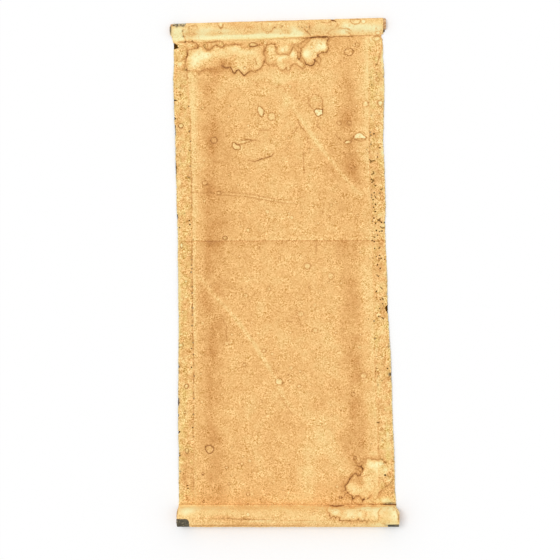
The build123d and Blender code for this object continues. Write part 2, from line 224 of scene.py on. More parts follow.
# open tide lines and the edges of both sleeves
backMarks["lines"] = [
    [(205, 48.5, .6), (204, 46, .7), (205.5, 43.8, .7), (208, 42.5, .6), (211, 42.8, .6), (214, 41.8, .7),
     (218, 40.6, .8), (221, 41.5, .7), (223, 43.5, .7), (223.5, 46, .8)], [(178, 42.5, .4), (182, 42.3, .7),
     (184.5, 42.6, .9), (186, 41.3, .9), (189, 42, .7), (192, 41.3, .9), (196, 43, .8), (198.2, 45.5, .8),
     (197.5, 48, .6)], [(182.5, 31, .4), (183.5, 36, .8), (186, 41, .4)], [(188, 50, .5), (186, 51, .6),
     (187.5, 54, .6), (187, 57, .6), (185, 59, .7), (182, 60.8, .5), (179, 61.5, .5), (176.5, 60, .5),
     (177.7, 57, .3)], [(183, 69.5, .6), (185.5, 70.5, .8), (187, 69, .7)], [(291.5, 46, .6), (292, 44, .5),
     (296.5, 44.3, .6), (299.5, 43.7, .7), (303, 42, .8), (305.5, 40, .8), (308, 38, .8)], [(297, 46.5, .6),
     (300, 47, .5), (301, 50, .5), (300.8, 55, .7), (300.7, 58, .9), (298.5, 59.2, .9)], [(317.5, 55.5, .9),
     (319.5, 57, .8), (320.7, 59.5, .7), (320.5, 62.5, .6), (319.6, 64.5, .7), (317.5, 62, .8), (316, 61, .9),
     (314.3, 59.8, 1)], [(363.5, 462.5, .5), (361, 461.5, .8), (359.5, 463, .8), (357, 463.5, .8),
     (355, 462.5, .8), (353.5, 459.5, .6), (354.8, 456, .6), (356.5, 459, .4)], [(354.5, 466, .5),
     (357.5, 465, .7), (359, 467, 1), (361, 466.5, 1), (362.8, 469, .8)], [(355, 468.5, .4), (357, 469.5, .6),
     (357.5, 472, .5), (356.3, 474, .5)], [(345.5, 490, .9), (342.5, 491.5, .8), (340, 491.8, .2)],
    [(338, 497, .3), (341, 497.7, .5), (344, 496.8, .7), (345, 494.5, .8), (347.5, 493, .8)],
    [(352.5, 498.5, .8), (351.5, 502, .5)], [(364, 498.8, .8), (362.3, 502.5, .7)], [(395, 478.8, .4),
     (393, 480.3, .7), (390.5, 482.5, .9), (389, 484.8, .9), (387.5, 486.6, .9), (385, 486, .5),
     (382.5, 485.6, .3)], [(383.3, 479.5, .5), (383.5, 482.5, .6), (382.7, 486, .3)], [(370, 499.5, .3),
     (373.5, 502.7, .5)], [(368, 475, .3), (363, 476.5, .5), (360.5, 477, .4)], [(381.5, 50.5, .4),
     (379.7, 54, .6), (379.4, 57.5, .9), (377.9, 61.5, .9), (376.5, 64.2, 1), (374.8, 64.4, .5)],
    [(374, 67, .4), (376.5, 70, .5)], [(378, 69, .5), (380, 71, .6), (382, 75, .4)], [(377, 101, .4),
     (377.8, 105, .5), (379.5, 107, .4)], [(368, 101, .3), (368.3, 105, .4), (366, 107.5, .3)],
    [(327, 34, .4), (330, 31, .4), (335, 28.5, .3), (338, 24, .3)], [(248, 160.5, .5), (255, 161.4, 1),
     (263.8, 158.3, 1), (271.7, 156.2, 1.1), (273.3, 153.8, .9)], [(303.6, 154, .6), (303.2, 162, .4),
     (304.3, 173, .6)], [(307.3, 137, .5), (307.6, 143, .5)], [(276.8, 87.5, .4), (278.8, 85.8, .5),
     (281.5, 86, .5), (284.5, 87.6, .5), (286.4, 90.5, .5), (283.6, 91.8, .3)], [(252, 81, .3),
     (255.6, 83, .4), (257.5, 86.5, .4)], [(251.5, 120, .3), (253, 116.3, .4), (256, 112.8, .3)],
    [(259.4, 132.5, .5), (260.6, 130.5, .6), (268.8, 130, .6), (271.3, 127.5, .5)], [(298.6, 120, .4),
     (299.2, 124.5, .7), (302.5, 128.5, .7), (305.5, 131.5, .5)], [(299, 126.5, .5), (296, 130, .6),
     (292, 134, .5)], [(316.8, 125, .6), (318.5, 128, .6), (321, 130, .5)], [(335, 134, .4), (338.5, 138, .5),
     (342, 141.5, .5)], [(315.8, 240, .5), (316.6, 247, .5), (316, 254, .4)], [(308.8, 283, .4),
     (308.8, 290, .4)], [(287, 321.3, .6), (292.5, 321.8, .5)], [(221.5, 318, .3), (226.5, 325, .5),
     (226, 335, .5), (227.5, 343, .3)], [(280, 396, .3), (286, 405, .5), (292, 415, .4)], [(340, 151.5, .4),
     (349, 154, .5), (357, 154.5, .3)], [(193, 162, .3), (227, 162, .2)], [(192, 192.5, .5), (205, 193, .3),
     (214, 193, .2)], [(190, 518.6, .2), (215, 518.6, .3), (226, 518.8, .5), (229.5, 518.2, 1),
     (232, 519, .8), (244, 519.3, .7), (258, 519.8, .6), (275, 520.3, .3), (300, 520.7, .35),
     (328, 520.9, .2)], [(226, 513, .1), (228.5, 517, .4)], [(192, 525.8, .4), (230, 525.9, .7),
     (256, 525.8, .4), (300, 525.8, .3)], [(273, 516, .2), (273.5, 520, .4)], [(382, 523.7, .6),
     (385, 523.9, .6)], [(254.5, 58, .3), (255.6, 60.5, .7), (256.3, 63.5, .8)], [(284.6, 48.5, .5),
     (284.4, 52, .3)], [(309, 97.5, .5), (308.5, 101, .7), (308, 103, .6), (309.5, 105, .8), (311, 107.5, .6),
     (313.5, 109.5, .6)], [(322.6, 100.5, .9), (322.3, 105, .5), (322.8, 109, .6)], [(311, 97, .4),
     (313, 94, .4), (320.5, 96, .5), (322.6, 100.5, .8)], [(351.5, 139.8, .6), (352.5, 137.5, .6),
     (353.7, 135.5, .5)], [(352, 139.8, .4), (356, 139.6, .5), (360, 141, .6), (364, 140.5, .5),
     (366.8, 138.5, .4)], [(240, 140.8, .6), (247.5, 139.4, .8), (252, 140.5, .9), (256.5, 140.4, .9)],
    [(236, 144.2, .5), (240, 144.8, .7), (246, 143, .7), (251, 141.5, .5)],
    # the two sides of a pleat
    [(214, 191.5, .1), (222, 191.8, .35), (248, 194, .45), (273, 198.5, .45), (300, 201.8, .1)],
    [(214, 194.4, .1), (222, 194.7, .4), (248, 197, .5), (273, 201.6, .5), (302, 205, .1)],
    # lines on the head sleeve
    [(331, 20.1, 1.5), (334, 20.4, 1.7), (335.8, 21.2, 1.2)], [(255, 21.8, .5), (268, 21.5, .6),
     (285, 20.9, .4), (305, 20.4, .2)], [(184, 34, .3), (190, 34.2, .4), (196, 34, .2)], [(188.5, 27, .3),
     (192, 25.8, .5), (195.5, 24.6, .5), (197, 26.5, .4), (197.8, 29, .3)], [(338, 28.8, .4), (341, 28.2, .5),
     (346, 28.3, .5), (349, 29.5, .6), (351, 30.8, .3)], [(346, 31, .4), (348.5, 32.5, .6), (350.5, 34.5, .7),
     (352, 35.5, .7)], [(320, 19.6, .3), (321.5, 22, .4), (326, 23.2, .5), (330.5, 21.8, .4)],
    [(261, 24.5, .3), (262, 28, .4), (265.5, 31.5, .4), (269, 32, .3), (272, 30.5, .5), (273.5, 28, .7),
     (275, 27, .9)], [(304.5, 29, .6), (306, 31.5, .7), (308.5, 33.2, .8), (310.5, 35.5, .8)],
    [(309.4, 24.2, .6), (309.6, 28.8, .6)],
    # wandering lines in the borders
    [(181, 82, .4), (183, 79.5, .5), (185.5, 80.5, .4), (187.5, 78.5, .5), (186.8, 75, .5), (187.5, 72, .4)],
    [(181.5, 84, .5), (184.5, 83.5, .4), (183, 86.5, .3)], [(178.5, 92, .5), (180.3, 95.2, .6),
     (182, 94.3, .4)], [(179.3, 154, .4), (180.2, 157, .5), (181.5, 159.5, .4)], [(183.5, 369, .4),
     (185, 372, .5), (187, 376, .4)], [(178.5, 186, .4), (180.5, 186.3, .5), (179, 189, .4)],
    [(193.6, 474, .2), (193.8, 480, .5), (193.5, 490, .3)], [(217.6, 23.5, .5), (218.6, 26, .8),
     (220.5, 28.2, 1), (222.3, 27.2, .9), (223.2, 24, .6)], [(375, 338.5, .4), (380, 337, .4),
     (383.6, 336, .3)], [(382.3, 362.5, .5), (382.8, 364.6, .6), (384.4, 365.7, .6)], [(380, 430, .5),
     (382.6, 428.3, .6)], [(385.3, 432, .3), (385.6, 434.5, .6)], [(378.3, 446.5, .5), (378.4, 451, .5)],
    [(388.5, 376, .3), (389, 379, .7), (388.2, 381, .4)], [(391, 378, .6), (391.4, 382, .5)],
    # the edge of the foot sleeve; its darkest stretch, from x 384 to its right end, is painted shadow in the
    # gap under the sleeve's unpasted corner
    [(179.5, 503.8, .9), (184, 504, .6), (200, 504.6, .4), (260, 504.6, .4), (328, 505, .5),
     (331, 505.5, 1.1), (337, 506, 1.3), (343, 505.5, 1.1), (345, 504.5, .5), (352, 504.6, .6),
     (357, 504.4, .5), (358.5, 504.6, 1), (362, 504.8, .9), (366, 504.2, .3), (370, 504.4, 1),
     (376, 504.6, 1), (380, 504.2, .4), (384, 504.3, 1.7), (386, 504.4, 2.6), (395.5, 504.5, 2.6)],
    [(386, 504.2, 1.4), (395, 504.3, 1.4)], [(393.8, 506.3, .4), (395.6, 508.8, .4), (397.3, 512, .5),
     (398.3, 516, .6), (398.8, 521, .5)], [(177.2, 508, .8), (176.6, 512, .9), (176.2, 520, .6)],
    # and of the head sleeve
    [(200, 40.8, .2), (225, 39.8, .2), (262, 39.3, .3), (285, 38.3, .5), (300, 37.4, .5), (305, 38.2, .8),
     (309, 37.6, 1), (312, 37.3, 1.6), (316, 37, 1.2), (320, 36.9, 1.3), (326, 36.8, 1.5), (330, 36.8, .9),
     (340, 36.5, .8), (347, 36.3, .9), (352, 36, 1), (356, 35.8, .6), (372, 35.4, .5), (381, 35.6, .5)],
]

# the joins of the front layer show through as soft seams
backMarks["seams"] = {
    -1: [(186.5, 40, .0), (187, 60, .05), (187, 75, .2), (187.8, 85, .25), (188.4, 95, .2), (189, 105, .15),
     (190, 118, .2), (190.6, 140, .4), (191.1, 168, .5), (191.6, 178, .8), (191.4, 196, .7), (191.7, 210, .4),
     (191.8, 236, .4), (192, 250, .75), (191.8, 262, .75), (191.9, 276, .6), (192.2, 290, .95),
     (192.3, 312, .95), (192.5, 328, .8), (193.2, 345, .75), (193.5, 360, .5), (193.8, 374, .8),
     (193.5, 386, .65), (193.9, 400, .7), (193.3, 410, .45), (193.4, 430, .45), (193.6, 444, .2),
     (193.7, 502, .1)],
    1: [(368.5, 36, .1), (369, 60, .15), (369.2, 90, .15), (369.4, 120, .25), (369.3, 142, .35),
     (369.6, 160, .2), (370.6, 182, .2), (371.3, 200, .15), (371.9, 220, .1), (372.4, 240, .1),
     (373, 260, .1), (373.6, 290, .1), (374.3, 320, .1), (374.5, 350, .35), (374.9, 372, .35), (376, 400, .1),
     (377.6, 420, .1), (378.3, 446, .3), (379, 480, .1), (379.5, 502, .1)],
}

# blots: x, y, half width, half height, ring and filling
backMarks["blots"] = [
    (348.7, 52, 4.3, 3.6, .8, .1), (357, 45, 2.2, 2, .4, .2), (339, 123, 2.2, 2, .5, .2),
    (349, 123, 2.2, 2, .5, .2), (181, 125.8, 2.4, 2.4, .9, .7), (380.4, 103.2, 2.3, 3, .5, .5),
    (365.6, 104, 3.2, 2.8, .3, .4), (214, 140, 3.2, 3, .7, .3), (205, 183, 2.6, 2.4, .5, .2),
    (219, 193, 2.2, 2, .5, .2), (331, 205, 2, 2, .4, .2), (225, 238, 2.2, 2, .8, .4),
    (181.5, 245.3, 1.5, 2.6, .7, 1.3), (307.5, 266, 3.4, 3.1, .5, .45), (185.7, 281.5, 1.6, 1.6, .4, .9),
    (182.8, 311.8, 1.2, 1.2, .5, .7), (264, 351, 2.2, 2, .5, .2), (244.5, 365, 1.8, 1.8, .4, .2),
    (279.2, 381.5, 3.6, 3.4, .6, .5), (299, 386, 2, 2, .4, .3), (363.5, 375.5, 3.6, 3, .5, .4),
    (186.5, 386.3, 2.1, 2.2, .9, .5), (353, 394, 1.8, 1.8, .5, .2), (187, 451, 1.7, 2.5, .9, .6),
    (355, 458, 1.5, 1.7, .4, .4), (242, 464, 1.8, 1.8, .4, .2), (248, 494, 1.8, 1.8, .4, .2),
    (180.6, 345.3, 2.1, 1.8, .5, 1.6), (184.8, 412.6, .9, 1.5, .8, .9), (184.6, 397.5, 1.3, 1.2, .5, .5),
    (226.5, 467.5, 1.7, 1.6, .6, .4), (229, 484, 1.4, 1.4, .5, .3), (378, 33, 2.4, 1.5, .3, .3),
    (363.5, 21.5, 2.6, 1.9, .25, .7), (281, 26.5, 1.2, 1.2, .4, 0), (340.5, 497.5, 1.4, 1.3, .6, .3),
    (244.7, 68, 1.6, 1.6, .4, .3), (203, 473.5, 1.2, 1.2, .7, .2), (203.5, 501.5, .9, .9, .7, .2),
    (186.6, 432.8, .9, .9, .2, 1), (195.5, 152.4, .9, .9, .3, 1), (377.8, 371, 2.2, 2.3, .6, 0),
    (377.8, 79.5, 1.9, 1.8, .6, .1), (201.3, 408.5, .9, .8, .2, .8), (380.6, 372.4, .7, .7, 0, 1),
    (330.6, 276, 3.2, 3.4, .3, .35), (300.5, 314, 3.4, 2.8, .35, .2), (315, 330.5, 2.6, 2.4, .35, .15),
    (268.8, 288.8, 2.2, 2, .3, .3), (245.3, 295.5, 2.6, 2.2, .3, .25), (328.4, 282.7, 1.1, 1.1, .3, .5),
    (335.8, 332.6, 1.2, 1.2, .4, .6), (258.8, 247.6, 1, 1, .5, .4),
]

# blots that are not round: ring, filling, outline
backMarks["shapes"] = [
    (.75, .65, [(258.2, 106.5), (260.5, 106.5), (262.5, 108.5), (264.2, 110.5), (263.8, 113), (263, 116),
     (261.5, 117), (260, 116), (258.5, 113.5), (257.5, 111), (257.5, 108.5)]),
    (.5, .4, [(268, 114), (271, 112.5), (274, 113), (275.5, 117), (275, 120), (270, 120.5), (267.5, 117.5)]),
    (.85, 1.0, [(314, 110.5), (316, 109), (320, 109), (322.6, 109.5), (322.8, 114), (320.5, 115.2),
     (318.5, 116.5), (316, 115), (314.8, 113)]),
    (.55, .95, [(353.5, 137.5), (354.5, 135), (356.5, 133.5), (359, 132.6), (362, 133.6), (363.8, 135.5),
     (366.5, 137.3), (365, 138.8), (362, 138.6), (358, 138.8), (354.5, 139)]),
    (.7, 1.0, [(344, 142.5), (346, 140.8), (349, 140.3), (351.3, 141), (350.5, 142.8), (347.5, 143.7),
     (345, 143.6)]),
    (1.0, .15, [(205.2, 449), (205.5, 446.5), (208, 445.6), (210.5, 445.2), (212.8, 446.5), (213.6, 449.5),
     (212.8, 451.5), (211, 453.2), (209, 453.6), (207, 452.3)]),
    (.75, .45, [(232.5, 143.5), (234, 142), (236, 144), (237.5, 145.2), (239.5, 145), (240.5, 147),
     (240, 149.3), (236, 149.8), (233.3, 148.3), (232, 146)]),
    (.55, .15, [(350.3, 19.5), (360, 19.3), (361, 21.5), (358.5, 23.6), (355, 24.3), (352, 23.3),
     (350.5, 21.5)]),
    (.5, .25, [(371.8, 38), (374, 36.6), (379, 36.6), (380.8, 38.4), (379, 40.6), (375.5, 41.2),
     (372.8, 40.3)]),
    (.8, .45, [(249, 44.6), (250.5, 42.9), (254, 42.7), (257, 43.8), (257.4, 45.4), (254.5, 46.5),
     (250.5, 46.3)]),
]

# soft areas: x, y, half width, half height, strength, and a tilt in degrees where there is one
backMarks["pale"] = [
    (198, 59, 7, 5.5, 1.0, 20), (205, 55.5, 9, 3.5, .6, 10), (196, 64.5, 5, 2.5, .5), (199, 52, 7, 3, .4),
    (215, 53, 18, 3, .35, 8), (236, 49, 6, 4, .4), (247, 52, 9, 4, .3), (239, 67.5, 7, 3.2, .3, 8),
    (257.5, 61, 3, 2.5, .45), (179.3, 64.5, 3.2, 3, .8), (271, 51, 3.5, 4, .5, 30),
    (283.5, 57.3, 6, 1.9, .8, 8), (279.3, 59, 1.8, 3.5, .4), (292.5, 53, 2.2, 3, .5), (270, 58, 3, 3, .3),
    (307.5, 53, 4, 4.5, .7), (321, 46.5, 4.5, 3.5, 1.0, 20), (315, 50, 5, 2.2, .5, 20),
    (317, 41.5, 6, 2.5, .3), (374, 467, 6, 5.5, .6), (378.5, 463.5, 5, 2.8, .5), (370, 464, 3, 4, .3),
    (357, 490, 6, 5, .5), (353.5, 487, 4, 5, .3), (368, 487, 6, 5, .35), (348, 486, 3, 4, .4),
    (369, 479.5, 6, 3, .35), (383.5, 469, 4, 4, .35), (390, 467, 2, 3, .4), (386, 500.5, 8, 2.3, .6),
    (373, 454, 4, 2.5, .5), (335.5, 512.5, 4, 3, .5), (352, 515, 4, 3, .55), (367, 508, 5, 2.3, .7),
    (374, 512, 4, 3, .35), (388, 514, 12, 9, .45), (383, 507, 5, 2, .35), (360, 514, 2, 4, .35),
    (390, 508, 9, 2.5, .5), (380, 525, 14, 2, .4), (230, 37, 40, 2.2, .9, 2), (272, 36, 30, 2.2, .8, 2),
    (297, 34.5, 6, 2.8, .6), (178, 34, 6, 6, .5), (343, 31, 12, 4, .5, 3), (368, 27, 13, 6, .7, 3),
    # the long thin areas from (193.5, 100) to (195, 300), just inside the left join, are a painted highlight
    # on the inner side of its ridge
    (215, 30, 14, 3, .3, 2), (193.5, 100, 3.5, 30, .6, 1), (194.5, 150, 3, 26, .25, 1),
    (195, 220, 3, 36, .25, 1), (195, 300, 1.6, 50, .3, 1), (196, 205, 3, 8, .2), (191, 60, 3, 8, .2),
    (382.4, 58, 1.5, 6, .8), (383, 75, 1.5, 20, .3), (376.3, 60, 1.2, 3.5, .5), (365.5, 85, 3, 55, .25),
    (366, 200, 4, 30, .15), (368, 290, 6, 40, .25), (375, 345, 5, 40, .15), (300, 75, 70, 8, .12),
    (325, 330, 20, 60, .08), (325, 440, 18, 35, .12), (179.6, 200, 1.8, 30, .35), (179.6, 300, 1.4, 45, .45),
    (180.5, 420, 2, 22, .4), (182.5, 492, 2.5, 10, .45), (185, 511, 9, 5, .35), (178.5, 213, 1.4, 5, .5),
    (183, 420, 1.6, 8, .4), (382.8, 153.5, 1.6, 4, .6), (381, 214.5, 2, 2.2, .7), (383, 226, 2, 1.6, .7),
    (369, 68, 3, 10, .2), (372, 40, 8, 4, .25), (388, 434, 2, 4, .5), (387.5, 443, 3, 5, .4),
    (388.5, 426, 2, 3, .3), (388.6, 382.5, 1.3, 1.3, .6), (203, 38, 5, 2, .4), (218, 85, 14, 10, .1),
    (178, 31, 6, 5, .45), (179, 38.5, 6, 2.6, .5), (191, 45.6, 4, 1.8, .75), (182, 46, 3, 2.5, .25),
    (200, 45, 1.6, 4, .4), (213.5, 43.6, 2.4, 1.2, .5), (209, 45.8, 1.3, 1.8, .55), (219.5, 44.6, 2, 1.2, .5),
    (233, 42.2, 7, 1.2, .4), (284, 40.5, 12, 2, .25), (221, 24.7, 1.4, 1.6, .9), (202, 33, 6, 5, .5),
    (228, 31, 10, 2.5, .35), (210, 27, 5, 2.5, .3), (297, 33.5, 5, 3, .8), (294, 29.5, 4, 3.5, .45),
    (277, 31, 5, 2, .4), (269.5, 23.5, 2.5, 1.6, .5), (260, 35.8, 26, 1.5, .35, 2), (350, 26, 10, 3, .45),
    (366, 28, 14, 4, .35), (344, 33, 6, 1.8, .3), (345, 23, 5, 3, .25), (320, 27, 9, 5, .35),
    (345, 30.5, 3, 1.6, .35), (249, 53.5, 10, 3, .3), (246, 62, 5, 2, .2), (293, 55, 3.5, 3, .7),
    (307, 53, 4, 4, .35), (280, 76, 22, 5, .4), (245, 82, 10, 5, .2), (310, 76, 12, 6, .25),
    (243, 141.5, 6, 1.6, .6, -5), (241, 147, .9, 3, .5), (316, 99.5, 5, 3, .25), (192, 510, 7, 5, .45),
    (215, 510, 16, 4, .15), (380, 511, 5, 3, .5), (383, 523.5, 12, 1.5, .3), (328, 446, 5, 28, .25, 29),
    (388, 478, 3, 6, .3), (376, 104, 3, 14, .25), (371, 35.2, 8, .9, .2), (181, 60, 3, 5, .25),
    # (290, 507.5) is a painted highlight on the foot sleeve's slope up from its seam, which the lamps leave
    # in shade
    (284, 49, 5, 4, .8), (396, 517, 3, 7, .35), (368, 501, 14, 3, .5), (290, 507.5, 100, 2, .3),
    (368, 508, 12, 2.5, .3), (308, 477, 8, 26, .3), (207, 75, 8, 6, .4), (283, 68, 13, 5, .35),
    (298, 55, 2, 4, .4), (278, 81, 10, 3, .3), (287, 102, 4, 9, .4), (185, 80, 8, 14, .25),
    (218, 97, 6, 6, .3), (226, 38, 6, 3, .4), (297, 41, 4, 3, .4), (250, 40, 14, 2, .3), (378, 30, 8, 4, .3),
    (346, 28, 8, 4, .2), (210, 31, 8, 3, .3), (208, 163, 5, 9, .35), (352, 222, 6, 22, .3),
    (350, 240, 5, 7, .2), (347, 135, 6, 6, .3), (350, 155, 5, 5, .2), (217, 303, 5, 10, .35),
    (262, 305, 6, 7, .15), (373, 340, 5, 10, .25), (358, 330, 6, 6, .3), (282, 347, 5, 6, .15),
    (356, 392, 6, 8, .4), (248, 415, 5, 6, .3), (356, 448, 5, 8, .4), (350, 472, 9, 4, .5),
    (262, 463, 6, 10, .2), (317, 438, 6, 8, .2), (382, 485, 5, 12, .2), (276, 511, 20, 3, .25),
    (177, 35, 6, 8, .3), (188, 31, 4, 4, .15), (375, 38, 8, 2, .3), (382.5, 160, 1.5, 16, .3),
    (178, 415, 1.6, 60, .2), (282, 51, 5, 3, .5), (389, 455, 3, 20, .3), (382, 95, 2.5, 26, .3),
    (178, 90, 3, 10, .3), (366, 160, 4, 6, .2), (310, 480, 8, 14, .15), (285, 497, 20, 5, .2),
    (262, 92, 22, 8, .3), (371, 44, 9, 6, .45), (354, 76, 5, 5, .25), (371, 77, 5, 5, .3),
    (383, 236, 3, 4, .4), (352, 230, 6, 8, .35), (381, 142, 3, 9, .4), (365, 129, 5, 5, .25),
    (366, 157, 4, 5, .3), (178.5, 250, 2, 14, .35), (178.5, 285, 2, 10, .3), (386, 473, 4, 10, .3),
    (354, 450, 4, 3, .3), (182, 54, 3, 5, .4), (184, 73, 6, 4, .3), (188, 95, 4, 9, .2), (200, 97, 5, 5, .2),
    (356, 490, 6, 6, .3), (364, 470, 3, 5, .2), (388, 501, 6, 2, .3), (262, 520.7, 14, .5, .9, 2),
    (300, 521.9, 40, .5, .5, 1), (185, 512, 6, 5, .3), (260, 315, 6, 8, .2), (278, 330, 8, 14, .15),
    (305, 470, 6, 5, .15), (256, 450, 6, 10, .2), (240, 70, 6, 5, .4), (282, 41, 12, 3, .3),
    (303, 60, 5, 6, .4), (355, 501, 18, 3.5, .35), (360, 460, 4, 12, .25), (277, 82, 8, 6, .2),
    (395, 512, 3, 8, .35), (222, 38, 6, 3, .3), (180, 50, 4, 8, .2),
]

